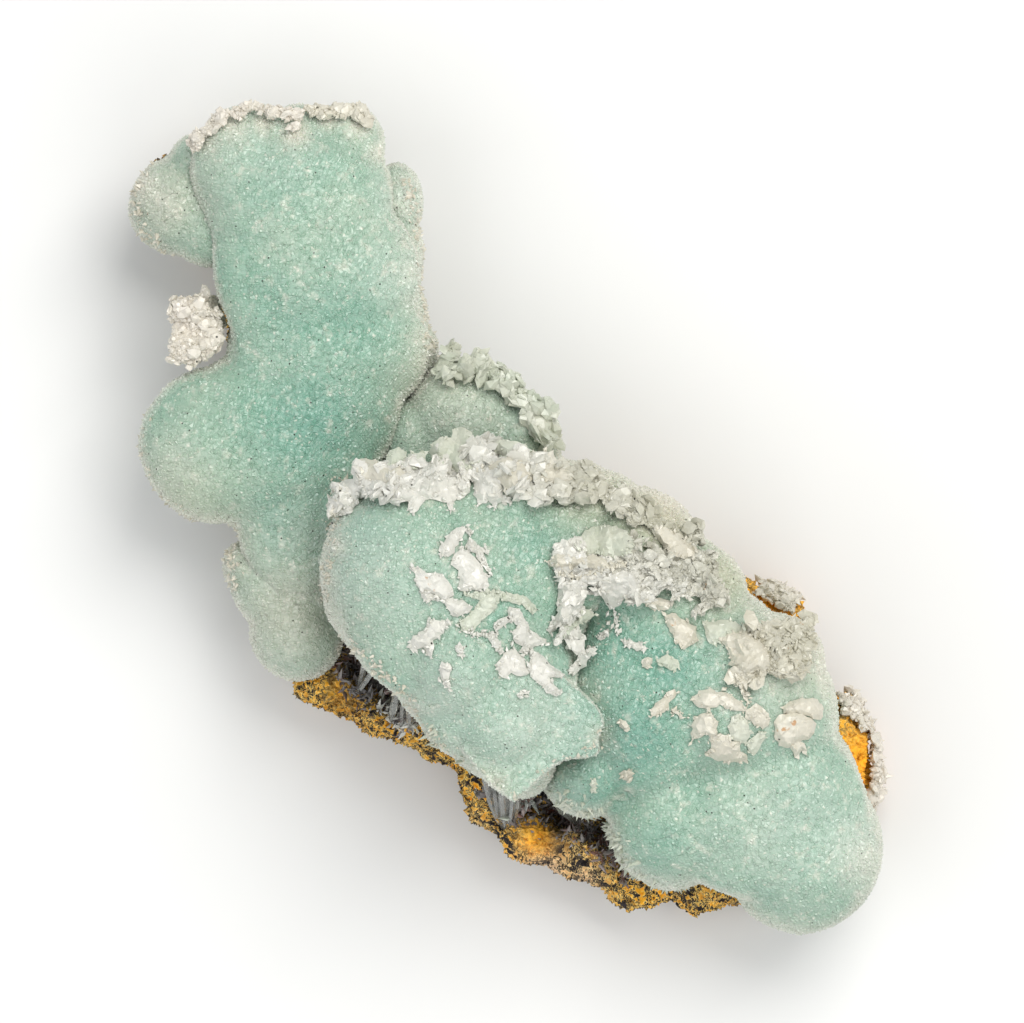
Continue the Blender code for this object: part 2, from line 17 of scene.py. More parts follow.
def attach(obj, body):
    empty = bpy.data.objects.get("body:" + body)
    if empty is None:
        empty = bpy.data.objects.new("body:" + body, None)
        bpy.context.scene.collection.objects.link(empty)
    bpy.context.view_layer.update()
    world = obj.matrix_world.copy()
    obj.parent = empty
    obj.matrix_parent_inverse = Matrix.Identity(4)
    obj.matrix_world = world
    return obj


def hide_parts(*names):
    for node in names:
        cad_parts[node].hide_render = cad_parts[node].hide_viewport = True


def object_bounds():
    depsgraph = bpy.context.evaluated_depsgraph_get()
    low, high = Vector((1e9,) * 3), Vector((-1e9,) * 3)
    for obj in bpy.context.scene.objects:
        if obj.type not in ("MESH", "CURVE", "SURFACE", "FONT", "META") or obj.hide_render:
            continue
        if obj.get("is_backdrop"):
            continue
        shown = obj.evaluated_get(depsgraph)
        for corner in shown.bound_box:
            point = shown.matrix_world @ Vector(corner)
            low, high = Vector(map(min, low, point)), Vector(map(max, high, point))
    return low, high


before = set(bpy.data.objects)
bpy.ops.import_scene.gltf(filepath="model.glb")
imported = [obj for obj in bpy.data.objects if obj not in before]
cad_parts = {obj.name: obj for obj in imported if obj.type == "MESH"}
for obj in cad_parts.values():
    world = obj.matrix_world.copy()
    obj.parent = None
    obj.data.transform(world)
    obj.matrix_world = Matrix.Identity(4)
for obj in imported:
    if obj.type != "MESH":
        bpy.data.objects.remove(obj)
CAD_LOW, CAD_HIGH = (np.array(corner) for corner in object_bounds())
print("solids in the frame:", len(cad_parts))
print("their box in mm:", np.round((CAD_HIGH - CAD_LOW) * 1000, 1))

# %% [markdown]
# ## The display plane
# It is easier to place crystals on the specimen as it is shown than along its long axis. The display plane
# has u to the right, v up and w towards the viewer, in millimetres. The specimen is turned from it by 50
# degrees, so one turn and one shift take a point into the frame. Working in millimetres keeps the numbers
# readable, and they become metres only when a mesh is made.

# %% The display plane
MM = 0.001
LONG_AXIS_TURN = math.radians(50.0)
DISPLAY_CENTRE = np.array((-0.849, 4.494, 0.0))
TURN = np.array((
    (math.cos(LONG_AXIS_TURN), -math.sin(LONG_AXIS_TURN), 0.0),
    (math.sin(LONG_AXIS_TURN), math.cos(LONG_AXIS_TURN), 0.0),
    (0.0, 0.0, 1.0),
))


def to_frame(points):
    """Display millimetres to metres in the frame."""
    return (np.asarray(points) @ TURN.T + DISPLAY_CENTRE) * MM


def to_display(points):
    """Metres in the frame to display millimetres."""
    return (np.asarray(points) / MM - DISPLAY_CENTRE) @ TURN


# %% [markdown]
# ## The camera
# The photograph looks straight down on the specimen with a long lens, so the camera hangs a metre above its
# middle height. Its lens is worked out from the width that the picture takes in, and its up side is the
# display plane's v direction. Depth of field stays off.

# %% The camera
PICTURE_WIDTH = 75.85
PICTURE_MIDDLE_V = 0.04
CAMERA_RISE = 1000.0
SHARP_HEIGHT = 12.0
SENSOR = 36.0

camera_data = bpy.data.cameras.new("camera")
camera_data.sensor_width = SENSOR
camera_data.lens = SENSOR * CAMERA_RISE / PICTURE_WIDTH
camera_data.clip_start = 0.05
camera_data.clip_end = 5.0
camera = bpy.data.objects.new("camera", camera_data)
bpy.context.scene.collection.objects.link(camera)
camera.location = to_frame((0.0, PICTURE_MIDDLE_V, SHARP_HEIGHT + CAMERA_RISE))
camera.rotation_euler = (0.0, 0.0, LONG_AXIS_TURN)
bpy.context.scene.camera = camera
print("lens:", round(camera_data.lens, 1), "mm")

# %% [markdown]
# ## Floor and light
# A pale floor carries a soft shadow. One large lamp stands high at the upper right, and two weaker ones,
# at the left and at the lower right, fill the shadows. A pale surrounding does the rest, as the white
# walls of a light tent would.
# Large lamps are used because the grain of the crystals already breaks up the light, and hard lamps would
# turn it into noise.

# %% Floor and light
FLOOR_SIZE = 3.0
FLOOR_GREY = (0.74, 0.74, 0.73)
FLOOR_ROUGHNESS = 0.9
SURROUND = (0.86, 0.90, 0.93)
SURROUND_STRENGTH = 0.37
AIM_HEIGHT = 8.0
# Name, place in display millimetres, size in metres, power in watts and colour
LAMPS = (
    ("key_lamp", (150.0, 230.0, 430.0), 0.34, 2.2, (1.0, 0.98, 0.95)),
    ("left_lamp", (-320.0, -120.0, 360.0), 0.5, 1.2, (0.97, 0.98, 1.0)),
    ("low_lamp", (240.0, -260.0, 360.0), 0.5, 1.1, (1.0, 0.98, 0.96)),
)


def make_floor():
    half = FLOOR_SIZE / 2
    corners = [(-half, -half, 0), (half, -half, 0), (half, half, 0), (-half, half, 0)]
    mesh = bpy.data.meshes.new("floor")
    mesh.from_pydata(corners, [], [(0, 1, 2, 3)])
    paper = bpy.data.materials.new("floor_paper")
    paper.use_nodes = True
    shader = paper.node_tree.nodes["Principled BSDF"]
    shader.inputs["Base Color"].default_value = (*FLOOR_GREY, 1.0)
    shader.inputs["Roughness"].default_value = FLOOR_ROUGHNESS
    mesh.materials.append(paper)
    floor = bpy.data.objects.new("floor", mesh)
    bpy.context.scene.collection.objects.link(floor)
    floor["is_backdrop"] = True


def make_lamp(name, place, size, power, colour):
    """A square lamp, turned to face the specimen."""
    lamp_data = bpy.data.lights.new(name, "AREA")
    lamp_data.size = size
    lamp_data.energy = power
    lamp_data.color = colour
    lamp = bpy.data.objects.new(name, lamp_data)
    lamp.location = to_frame(place)
    aim = Vector(to_frame((0.0, 0.0, AIM_HEIGHT))) - lamp.location
    lamp.rotation_euler = aim.to_track_quat("-Z", "Y").to_euler()
    bpy.context.scene.collection.objects.link(lamp)


def make_surround():
    world = bpy.data.worlds.new("light_tent")
    world.use_nodes = True
    background = world.node_tree.nodes["Background"]
    background.inputs["Color"].default_value = (*SURROUND, 1.0)
    background.inputs["Strength"].default_value = SURROUND_STRENGTH
    bpy.context.scene.world = world


make_floor()
for lamp in LAMPS:
    make_lamp(*lamp)
make_surround()
bpy.context.scene.view_settings.view_transform = "Standard"
print("lamps:", [lamp[0] for lamp in LAMPS])

# %% [markdown]
# ## Meshes from arrays
# Druse is tens of thousands of tiny crystals. Adding them one by one would take minutes, so every piece is
# made from two arrays: the points and the faces. This helper fills a mesh from them in one go, writes named
# values for each point (the material reads them), keeps the piece inside the box of the solid model, and
# hangs it on the frame.

# %% Meshes from arrays
BOX_MARGIN = 0.00001
MADE = {}


def make_piece(name, points, faces, material, values, replaces):
    """One visible piece. points are display millimetres, and faces are triangles."""
    co = np.clip(to_frame(points), CAD_LOW + BOX_MARGIN, CAD_HIGH - BOX_MARGIN).astype(np.float32)
    faces = np.asarray(faces, np.int32)
    mesh = bpy.data.meshes.new(name)
    mesh.vertices.add(len(co))
    mesh.vertices.foreach_set("co", co.ravel())
    mesh.loops.add(faces.size)
    mesh.loops.foreach_set("vertex_index", faces.ravel())
    mesh.polygons.add(len(faces))
    mesh.polygons.foreach_set("loop_start", np.arange(0, faces.size, 3, dtype=np.int32))
    mesh.update(calc_edges=True)
    mesh.validate()
    mesh.shade_flat()
    for key, value in values.items():
        attribute = mesh.attributes.new(key, "FLOAT", "POINT")
        attribute.data.foreach_set("value", np.asarray(value, np.float32))
    mesh.materials.append(material)
    piece = bpy.data.objects.new(name, mesh)
    bpy.context.scene.collection.objects.link(piece)
    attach(piece, "root")
    if replaces:
        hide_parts(*replaces)
    MADE[name] = len(faces)
    print(name, "has", MADE[name], "triangles")


print("every piece keeps this far inside the box, in mm:", BOX_MARGIN / MM)

# %% [markdown]
# ## From a solid to a dense skin
# The solids have few, large faces. A skin for druse needs many small, even ones. A copy of the solid is
# rebuilt from voxels, which gives even squares, then smoothed so that the old facets vanish, and drawn in
# a little, so that the crystals that grow on it end about where the solid's surface is.

# %% From a solid to a dense skin
WELD = 1e-6
SMOOTHING = 0.5
TINY = 1e-12


def even_skin(rough, voxel, smoothing):
    """Points and square faces of a mesh rebuilt from voxels and smoothed. The mesh itself is used up."""
    holder = bpy.data.objects.new("rough", rough)
    bpy.context.scene.collection.objects.link(holder)
    remesh = holder.modifiers.new("even", "REMESH")
    remesh.mode = "VOXEL"
    remesh.voxel_size = voxel * MM
    if smoothing:
        smooth = holder.modifiers.new("smooth", "SMOOTH")
        smooth.factor = SMOOTHING
        smooth.iterations = smoothing
    graph = bpy.context.evaluated_depsgraph_get()
    mesh = bpy.data.meshes.new_from_object(holder.evaluated_get(graph))
    co = np.empty(len(mesh.vertices) * 3, np.float32)
    mesh.vertices.foreach_get("co", co)
    faces = np.empty(len(mesh.loops), np.int32)
    mesh.loops.foreach_get("vertex_index", faces)
    bpy.data.objects.remove(holder)
    bpy.data.meshes.remove(rough)
    bpy.data.meshes.remove(mesh)
    return co.reshape(-1, 3).astype(float), faces.reshape(-1, 4)


def mesh_of(bm, name):
    """A mesh with what the bmesh holds. The bmesh itself is used up."""
    mesh = bpy.data.meshes.new(name)
    bm.to_mesh(mesh)
    bm.free()
    return mesh


def unit(vectors, least=1e-9):
    return vectors / np.maximum(np.linalg.norm(vectors, axis=1, keepdims=True), least)


def face_normals(points, faces):
    a = points[faces[:, 2]] - points[faces[:, 0]]
    b = points[faces[:, 3]] - points[faces[:, 1]]
    return unit(np.cross(a, b), TINY)


def point_normals(points, faces):
    flat = face_normals(points, faces)
    total = np.stack([
        np.bincount(faces.ravel(), np.repeat(flat[:, i], 4), len(points)) for i in range(3)
    ], axis=1)
    return unit(total, TINY)


def drawn_in(points, faces, shrink):
    """Points moved in along their normals by shrink, the faces, and the new normals."""
    points = points - point_normals(points, faces) * shrink
    return points, faces, point_normals(points, faces)


def fine_skin(node, voxel, smoothing, shrink):
    """Points, square faces and point normals of a solid's skin, in display millimetres."""
    bm = bmesh.new()
    bm.from_mesh(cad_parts[node].data)
    bmesh.ops.remove_doubles(bm, verts=bm.verts, dist=WELD)
    co, faces = even_skin(mesh_of(bm, f"{node}_rough"), voxel, smoothing)
    return drawn_in(to_display(co), faces, shrink)


print("corners closer than this are welded, in mm:", WELD / MM)

# %% [markdown]
# ## Values on a skin
# Colour and crystal size change over the stone: rims get a painted pale sheen, and some places are deeper in
# colour. These helpers give each point of a skin a number for that. A rim is found by blurring the surface
# and seeing what stands out from it, which needs no mask drawn on the mesh and works on any shape.

# %% Values on a skin
def blurred(values, faces, rounds):
    """Each value averaged with its neighbours', so many rounds. values has a row for each point."""
    a = faces.ravel()
    b = np.roll(faces, -1, axis=1).ravel()
    size = len(values)
    count = np.bincount(a, minlength=size) + np.bincount(b, minlength=size)
    count = np.maximum(count, 1)
    values = values.reshape(size, -1).copy()
    for _ in range(rounds):
        for i in range(values.shape[1]):
            column = values[:, i]
            total = np.bincount(a, column[b], size) + np.bincount(b, column[a], size)
            values[:, i] = 0.5 * column + 0.5 * total / count
    return values


def bulge(points, faces, normals, rounds):
    """How far each point stands out from the blurred surface, in millimetres."""
    return ((points - blurred(points, faces, rounds)) * normals).sum(axis=1)


def lumps(points, size, shift):
    """A smooth random value, about -1 to 1, for each point. size is the lumps' size in millimetres."""
    return np.array([noise.noise(Vector(p)) for p in points / size + shift])


def near_places(points, places):
    """For each point the strongest pull of the places, which fades with the distance in u and v."""
    value = np.zeros(len(points))
    for u, v, radius, strength in places:
        far = np.hypot(points[:, 0] - u, points[:, 1] - v) / radius
        value = np.maximum(value, strength * np.exp(-far ** 2))
    return value


print("pull at the edge of a place:", near_places(np.array(((1.0, 0.0),)), ((0.0, 0.0, 1.0, 1.0),)))

# %% [markdown]
# ## Two crystal forms
# A crystal is a handful of points round a unit axis. Two forms are enough: a double point with the zigzag
# girdle of calcite, and a flat flake with a wide girdle and a smaller face on each side.

# %% Two crystal forms
def double_point(sides, zigzag):
    """Points and triangles of a closed crystal with a point at both ends of its z axis."""
    ring = [
        (math.cos(2 * math.pi * i / sides), math.sin(2 * math.pi * i / sides), zigzag * (-1) ** i)
        for i in range(sides)
    ]
    points = np.array(ring + [(0, 0, 1), (0, 0, -1)], float)
    faces = []
    for i in range(sides):
        after = (i + 1) % sides
        faces += [(i, after, sides), (after, i, sides + 1)]
    return points, np.array(faces)


def flake_form(sides, bevel):
    """Points and triangles of a flat closed crystal: a wide girdle and two smaller faces."""
    turns = [2 * math.pi * i / sides for i in range(sides)]
    points = [(math.cos(a), 0.0, math.sin(a)) for a in turns]
    for height in (1.0, -1.0):
        points += [(bevel * math.cos(a), height, bevel * math.sin(a)) for a in turns]
    faces = []
    for layer, turned in ((1, False), (2, True)):
        for i in range(sides):
            after = (i + 1) % sides
            a, b, c, d = i, after, layer * sides + after, layer * sides + i
            faces += [(a, b, c), (a, c, d)] if turned else [(c, b, a), (d, c, a)]
            if 0 < i < sides - 1:
                fan = (layer * sides, layer * sides + i, layer * sides + after)
                faces.append(fan if turned else fan[::-1])
    return np.array(points, float), np.array(faces)


POINT_FORM, RIM_FORM, FRINGE_FORM = double_point(6, 0.14), double_point(6, 0.12), double_point(5, 0.1)
FLAKE_FORM, BLADE_FORM = flake_form(7, 0.62), flake_form(7, 0.6)
print("corners of a point:", len(POINT_FORM[0]), "and of a flake:", len(FLAKE_FORM[0]))

# %% [markdown]
# ## Many crystals at once
# To grow thousands, the few points of a form are turned, stretched and moved by arrays, and every corner
# is nudged at random, so that no two crystals are alike. Copies by hand or by modifiers would be slower,
# and would all have the same corners. Places are drawn by area, so that large faces get more crystals.

# %% Many crystals at once
def grow(form, places, axes, facing, sizes, draw, nudge):
    """Joined crystals. sizes holds each one's width, thickness and length in millimetres."""
    points, faces = form
    across = unit(np.cross(axes, facing))
    flat = np.cross(axes, across)
    count, corners = len(places), len(points)
    local = points[None] + draw.uniform(-nudge, nudge, (count, corners, 3))
    local *= sizes[:, None, :] / 2
    placed = places[:, None] + local[..., :1] * across[:, None] + local[..., 1:2] * flat[:, None]
    placed += local[..., 2:] * axes[:, None]
    joined = faces[None] + (np.arange(count) * corners)[:, None, None]
    return placed.reshape(-1, 3), joined.reshape(-1, 3)


def any_way(draw, shape):
    """Directions at random."""
    return unit(draw.normal(0, 1, shape))


def leaning(normals, spread, draw):
    """Directions near the normals, each tipped over at random by up to about that share."""
    return unit(normals + draw.normal(0.0, spread, normals.shape))


def scattered(points, faces, count, draw, keep):
    """Random places spread by area, times keep, over square faces, and the normals there."""
    triangles = np.concatenate([faces[:, [0, 1, 2]], faces[:, [0, 2, 3]]])
    corner = points[triangles]
    crossed = np.cross(corner[:, 1] - corner[:, 0], corner[:, 2] - corner[:, 0])
    area = np.linalg.norm(crossed, axis=1)
    weight = area * keep[triangles].mean(axis=1)
    chosen = draw.choice(len(triangles), count, p=weight / weight.sum())
    r1, r2 = np.sqrt(draw.random(count)), draw.random(count)
    share = np.stack([1 - r1, r1 * (1 - r2), r1 * r2], axis=1)
    places = (corner[chosen] * share[..., None]).sum(axis=1)
    return places, crossed[chosen] / area[chosen, None]


print("first way that a seed of 1 gives:", np.round(any_way(np.random.default_rng(1), (1, 3)), 2))

# %% [markdown]
# ## Nodes in one line
# A finish is a long chain of small nodes. Each helper here adds one node to a tree, sets or links what it
# is given, and hands back the output, so that the chains below read from top to bottom. Node wrangling by
# hand in the editor makes the same tree, but can't be read in a script.

# %% Nodes in one line
FACTOR, FIRST_COLOUR, SECOND_COLOUR, MIXED = 0, 6, 7, 2


def feed(tree, socket, value):
    """Sets a socket to a number or a colour, or links another socket to it."""
    if isinstance(value, tuple):
        socket.default_value = (*value, 1.0)
    elif isinstance(value, (int, float)):
        socket.default_value = value
    else:
        tree.links.new(value, socket)


def add_math(tree, operation, *values):
    node = tree.nodes.new("ShaderNodeMath")
    node.operation = operation
    for socket, value in zip(node.inputs, values):
        feed(tree, socket, value)
    return node.outputs[0]


def add_noise(tree, vector, scale, detail=3.0, roughness=0.6):
    node = tree.nodes.new("ShaderNodeTexNoise")
    for key, value in (("Detail", detail), ("Roughness", roughness), ("Vector", vector), ("Scale", scale)):
        feed(tree, node.inputs[key], value)
    return node.outputs[0]


def add_cells(tree, given):
    """A pattern of cells inside a group, with the group's own vector and scale."""
    node = tree.nodes.new("ShaderNodeTexVoronoi")
    for key in ("Vector", "Scale"):
        feed(tree, node.inputs[key], given.outputs[key])
    return node


def add_range(tree, value, low, high, to_low=0.0, to_high=1.0):
    """A value mapped from one range to another, held at its ends."""
    node = tree.nodes.new("ShaderNodeMapRange")
    keys = ("Value", "From Min", "From Max", "To Min", "To Max")
    for key, amount in zip(keys, (value, low, high, to_low, to_high)):
        feed(tree, node.inputs[key], amount)
    return node.outputs[0]


def add_mix(tree, share, a, b, blend="MIX"):
    """One colour mixed into another."""
    node = tree.nodes.new("ShaderNodeMix")
    node.data_type = "RGBA"
    node.blend_type = blend
    for index, value in ((FACTOR, share), (FIRST_COLOUR, a), (SECOND_COLOUR, b)):
        feed(tree, node.inputs[index], value)
    return node.outputs[MIXED]


def split_colour(tree, colour):
    node = tree.nodes.new("ShaderNodeSeparateColor")
    tree.links.new(colour, node.inputs[0])
    return node.outputs


def new_group(name, settings, outputs):
    """An empty node group. settings are its number inputs with their usual values."""
    group = bpy.data.node_groups.new(name, "ShaderNodeTree")
    group.interface.new_socket("Vector", in_out="INPUT", socket_type="NodeSocketVector")
    for key, value in settings.items():
        socket = group.interface.new_socket(key, in_out="INPUT", socket_type="NodeSocketFloat")
        socket.default_value = value
    for key in outputs:
        group.interface.new_socket(key, in_out="OUTPUT", socket_type="NodeSocketFloat")
    return group, group.nodes.new("NodeGroupInput"), group.nodes.new("NodeGroupOutput")


print("node helpers are ready:", [f.__name__ for f in (add_math, add_noise, add_range, add_mix)])

# %% [markdown]
# ## Node groups for the finishes
# Several stones share the same small effects: sugary grain, dark specks and rusty stains. Each is a node
# group that is built once, with named inputs, and every material sets its own values. The groups give out
# masks and values only. The shader itself stays in the material, where its constant values are set on its
# own sockets.

# %% Node groups for the finishes
def make_grain_group():
    """Sugary grain: a brightness that flickers from crystal to crystal, and a height for the bump."""
    tree, given, out = new_group(
        "sugary_grain", {"Scale": 3500.0, "Contrast": 0.2}, ("Brightness", "Height"),
    )
    cells = add_cells(tree, given)
    fine = add_noise(tree, given.outputs["Vector"], given.outputs["Scale"], 2.0)
    flicker = split_colour(tree, cells.outputs["Color"])
    both = add_math(tree, "ADD", add_math(tree, "MULTIPLY", flicker[0], 0.6), fine)
    swing = add_math(tree, "SUBTRACT", both, 0.8)
    swing = add_math(tree, "MULTIPLY", swing, given.outputs["Contrast"])
    tree.links.new(add_math(tree, "ADD", swing, 1.0), out.inputs["Brightness"])
    height = add_math(tree, "SUBTRACT", fine, cells.outputs["Distance"])
    tree.links.new(height, out.inputs["Height"])
    return tree


def make_speck_group():
    """Specks: a few of the cells of a fine pattern, each a small round spot."""
    tree, given, out = new_group("specks", {"Scale": 900.0, "Size": 0.12, "Share": 0.06}, ("Mask",))
    cells = add_cells(tree, given)
    pick = split_colour(tree, cells.outputs["Color"])
    chosen = add_math(tree, "LESS_THAN", pick[1], given.outputs["Share"])
    edge = add_math(tree, "MULTIPLY", given.outputs["Size"], 0.7)
    inside = add_range(tree, cells.outputs["Distance"], given.outputs["Size"], edge)
    tree.links.new(add_math(tree, "MULTIPLY", chosen, inside), out.inputs["Mask"])
    return tree


def make_stain_group():
    """Stains: patches with ragged edges."""
    tree, given, out = new_group(
        "stains", {"Scale": 250.0, "Threshold": 0.62, "Softness": 0.08}, ("Mask",),
    )
    broad = add_noise(tree, given.outputs["Vector"], given.outputs["Scale"], 4.0, 0.65)
    upper = add_math(tree, "ADD", given.outputs["Threshold"], given.outputs["Softness"])
    tree.links.new(add_range(tree, broad, given.outputs["Threshold"], upper), out.inputs["Mask"])
    return tree


GRAIN, SPECKS, STAINS = make_grain_group(), make_speck_group(), make_stain_group()
print("node groups:", [group.name for group in (GRAIN, SPECKS, STAINS)])

# %% [markdown]
# ## Helpers for a material
# Every finish reads its patterns in the piece's own coordinates, so that they stay on the stone from any
# side, and reads the values that the mesh holds for its points. The bump and the brightness come from the
# grain group. What is the same all over is set on the shader itself.

# %% Helpers for a material
def new_material(name):
    """A material with its Principled shader and the coordinates that its patterns use."""
    material = bpy.data.materials.new(name)
    material.use_nodes = True
    tree = material.node_tree
    place = tree.nodes.new("ShaderNodeTexCoord").outputs["Object"]
    return material, tree, tree.nodes["Principled BSDF"], place


def use_group(tree, group, vector, **settings):
    node = tree.nodes.new("ShaderNodeGroup")
    node.node_tree = group
    tree.links.new(vector, node.inputs["Vector"])
    for key, value in settings.items():
        node.inputs[key.capitalize()].default_value = value
    return node


def point_value(tree, key):
    """A value that a mesh holds for each of its points."""
    node = tree.nodes.new("ShaderNodeAttribute")
    node.attribute_name = key
    return node.outputs["Fac"]


def add_bump(tree, shader, height, distance, strength):
    bump = tree.nodes.new("ShaderNodeBump")
    bump.inputs["Distance"].default_value = distance * MM
    bump.inputs["Strength"].default_value = strength
    tree.links.new(height, bump.inputs["Height"])
    tree.links.new(bump.outputs["Normal"], shader.inputs["Normal"])


def brightened(tree, colour, brightness):
    """A colour times a value."""
    value = tree.nodes.new("ShaderNodeCombineColor")
    for i in range(3):
        tree.links.new(brightness, value.inputs[i])
    return add_mix(tree, 1.0, colour, value.outputs[0], "MULTIPLY")


print("every bump is measured in units of", MM, "m")

# %% [markdown]
# ## The blue-green finish
# The crust is made of tiny clear crystals over a blue-green body. Looked at straight on, the eye falls
# between the crystals and sees the colour. On a rim it sees only their pale tips. So each crystal is
# coloured from its foot to its tip, and the same mesh is green in front and frosty at its edges from any
# side. Some colour is painted light on top: a painted pale sheen on steep sides and rims, painted glints on
# a few crystal tips, painted shade in grey and in some deep teal spots, and a painted highlight in some pale
# and frosty spots. The light also travels some way inside the stone, which subsurface scattering gives.

# %% The blue-green finish
# Deep teal where the crust is thick, and also painted shade beside the dome's left flank and next to its lip
TEAL = (0.150, 0.340, 0.262)
AQUA = (0.236, 0.402, 0.302)
MINT = (0.345, 0.464, 0.362)
# Frosty crystals and cream spots, and also the painted pale sheen on steep sides and rims and the painted
# glints on crystal tips
FROST_AND_SHEEN = (0.690, 0.675, 0.580)
PALE_AQUA = (0.430, 0.530, 0.452)
# Painted shade: the grey of lobes that turn away and of the crust's feet
SHADE_SLATE = (0.410, 0.430, 0.350)
SAND = (0.520, 0.490, 0.365)
DARK_SPECK = (0.030, 0.028, 0.020)
MOTTLE = 0.45


def aqua_finish():
    material, tree, shader, place = new_material("aqua_calcite_druse")
    broad = add_range(tree, add_noise(tree, place, 160.0), 0.38, 0.66)
    body = add_mix(tree, broad, AQUA, MINT)
    # Of these values, the deep one is partly painted shade, the grey one is painted shade, the rim one is
    # mostly a painted pale sheen, and the tip one carries painted glints
    for key, colour in (
        ("heart_and_shade", TEAL), ("grey", SHADE_SLATE), ("pale", PALE_AQUA), ("sand", SAND),
        ("rim", FROST_AND_SHEEN), ("tip_and_glint", FROST_AND_SHEEN),
    ):
        body = add_mix(tree, point_value(tree, key), body, colour)
    mottle = add_range(tree, add_noise(tree, place, 950.0), 0.56, 0.70, 0.0, MOTTLE)
    body = add_mix(tree, mottle, body, FROST_AND_SHEEN)
    grain = use_group(tree, GRAIN, place, scale=4200.0, contrast=0.12)
    body = brightened(tree, body, grain.outputs["Brightness"])
    specks = use_group(tree, SPECKS, place, scale=1100.0, size=0.085, share=0.9)
    body = add_mix(tree, specks.outputs["Mask"], body, DARK_SPECK)
    tree.links.new(body, shader.inputs["Base Color"])
    shader.inputs["Roughness"].default_value = 0.3
    shader.inputs["IOR"].default_value = 1.6
    shader.inputs["Subsurface Weight"].default_value = 0.4
    shader.inputs["Subsurface Radius"].default_value = (0.8, 1.0, 0.9)
    shader.inputs["Subsurface Scale"].default_value = 0.0008
    add_bump(tree, shader, grain.outputs["Height"], 0.05, 0.2)
    return material


AQUA_FINISH = aqua_finish()
print(AQUA_FINISH.name, "has", len(AQUA_FINISH.node_tree.nodes), "nodes")

# %% [markdown]
# ## The lobes of the crust
# The crust is several generations of growth: the tower, a pale lobe behind, the big dome and the shelf
# below it. The solid has them in one piece, with soft valleys between. Here each generation is a closed
# skin of its own, from the same lobes as the solid's, so that a crisp seam shows where one grew over the
# other, as on the real stone. The lip of the dome is a thin plate with a broken edge.

# %% The lobes of the crust
# Centre u, v, w and radii along u, v, w of each lobe, in millimetres
TOWER_LOBES = (
    (-19.2, 25.2, 10.6, 5.0, 5.3, 4.8), (-12.4, 27.2, 10.0, 3.1, 3.4, 4.4),
    (-15.8, 22.8, 11.0, 7.5, 6.7, 5.6), (-13.9, 17.6, 11.0, 7.4, 7.0, 5.4),
    (-13.6, 12.2, 10.6, 7.7, 6.0, 5.0), (-15.4, 7.6, 10.0, 7.4, 6.4, 5.2),
    (-21.6, 5.0, 9.6, 6.3, 6.1, 5.2), (-18.6, 6.6, 10.0, 6.2, 5.6, 5.2),
    (-15.6, 1.0, 8.8, 5.6, 5.6, 4.6), (-15.6, -3.4, 7.8, 4.8, 4.6, 4.4),
    (-15.6, 20.0, 12.0, 6.9, 10.4, 3.9), (-14.2, 12.0, 11.6, 6.8, 9.0, 3.9),
    (-17.8, 5.6, 11.2, 8.4, 6.2, 3.7), (-15.6, 0.0, 9.4, 5.0, 7.6, 3.6),
)
GREY_LOBES = (
    (-24.8, 22.7, 8.2, 3.8, 3.9, 4.4), (-22.2, 21.0, 8.8, 3.6, 3.0, 4.0),
    (-23.4, 26.2, 8.6, 2.2, 2.2, 3.2),
)
FOOT_LOBES = (
    (-17.4, -5.0, 7.2, 3.7, 4.0, 4.0), (-19.6, -4.0, 7.0, 2.2, 2.2, 3.4),
    (-15.9, -8.8, 7.4, 3.7, 4.0, 4.4), (-15.6, -5.4, 7.4, 4.6, 4.4, 4.2),
)
LEDGE_LOBES = (
    (-8.6, 23.0, 8.2, 2.1, 3.2, 4.2), (-8.5, 18.8, 8.6, 2.2, 3.4, 4.4),
    (-8.3, 14.8, 8.4, 2.1, 3.2, 4.2), (-7.7, 12.0, 8.0, 2.4, 2.6, 3.8),
)
BACK_LOBES = (
    (-3.4, 6.9, 8.8, 4.6, 4.8, 5.2), (0.6, 5.4, 8.4, 3.2, 3.8, 4.8),
    (-6.8, 5.2, 8.0, 3.2, 3.8, 4.4), (4.2, 1.2, 9.2, 4.4, 2.8, 4.8),
)
DOME_LOBES = (
    (-7.3, -4.4, 15.4, 7.1, 7.7, 8.4), (-1.4, -5.2, 14.6, 7.8, 8.6, 7.6),
    (-3.8, -11.0, 15.2, 5.4, 5.6, 8.4), (-0.6, -15.6, 15.2, 4.7, 4.6, 7.4),
    (0.8, -18.4, 13.6, 2.6, 3.0, 6.4), (-7.8, 0.4, 14.0, 4.2, 3.4, 7.6),
    (-0.4, 0.9, 13.6, 5.6, 3.6, 7.0), (5.4, -0.1, 12.4, 5.0, 3.7, 6.8),
    (-4.6, -6.4, 18.2, 8.4, 8.2, 4.8), (-1.4, -12.2, 17.4, 6.4, 7.0, 4.2),
    (1.6, -3.4, 16.8, 7.0, 5.2, 4.2),
)
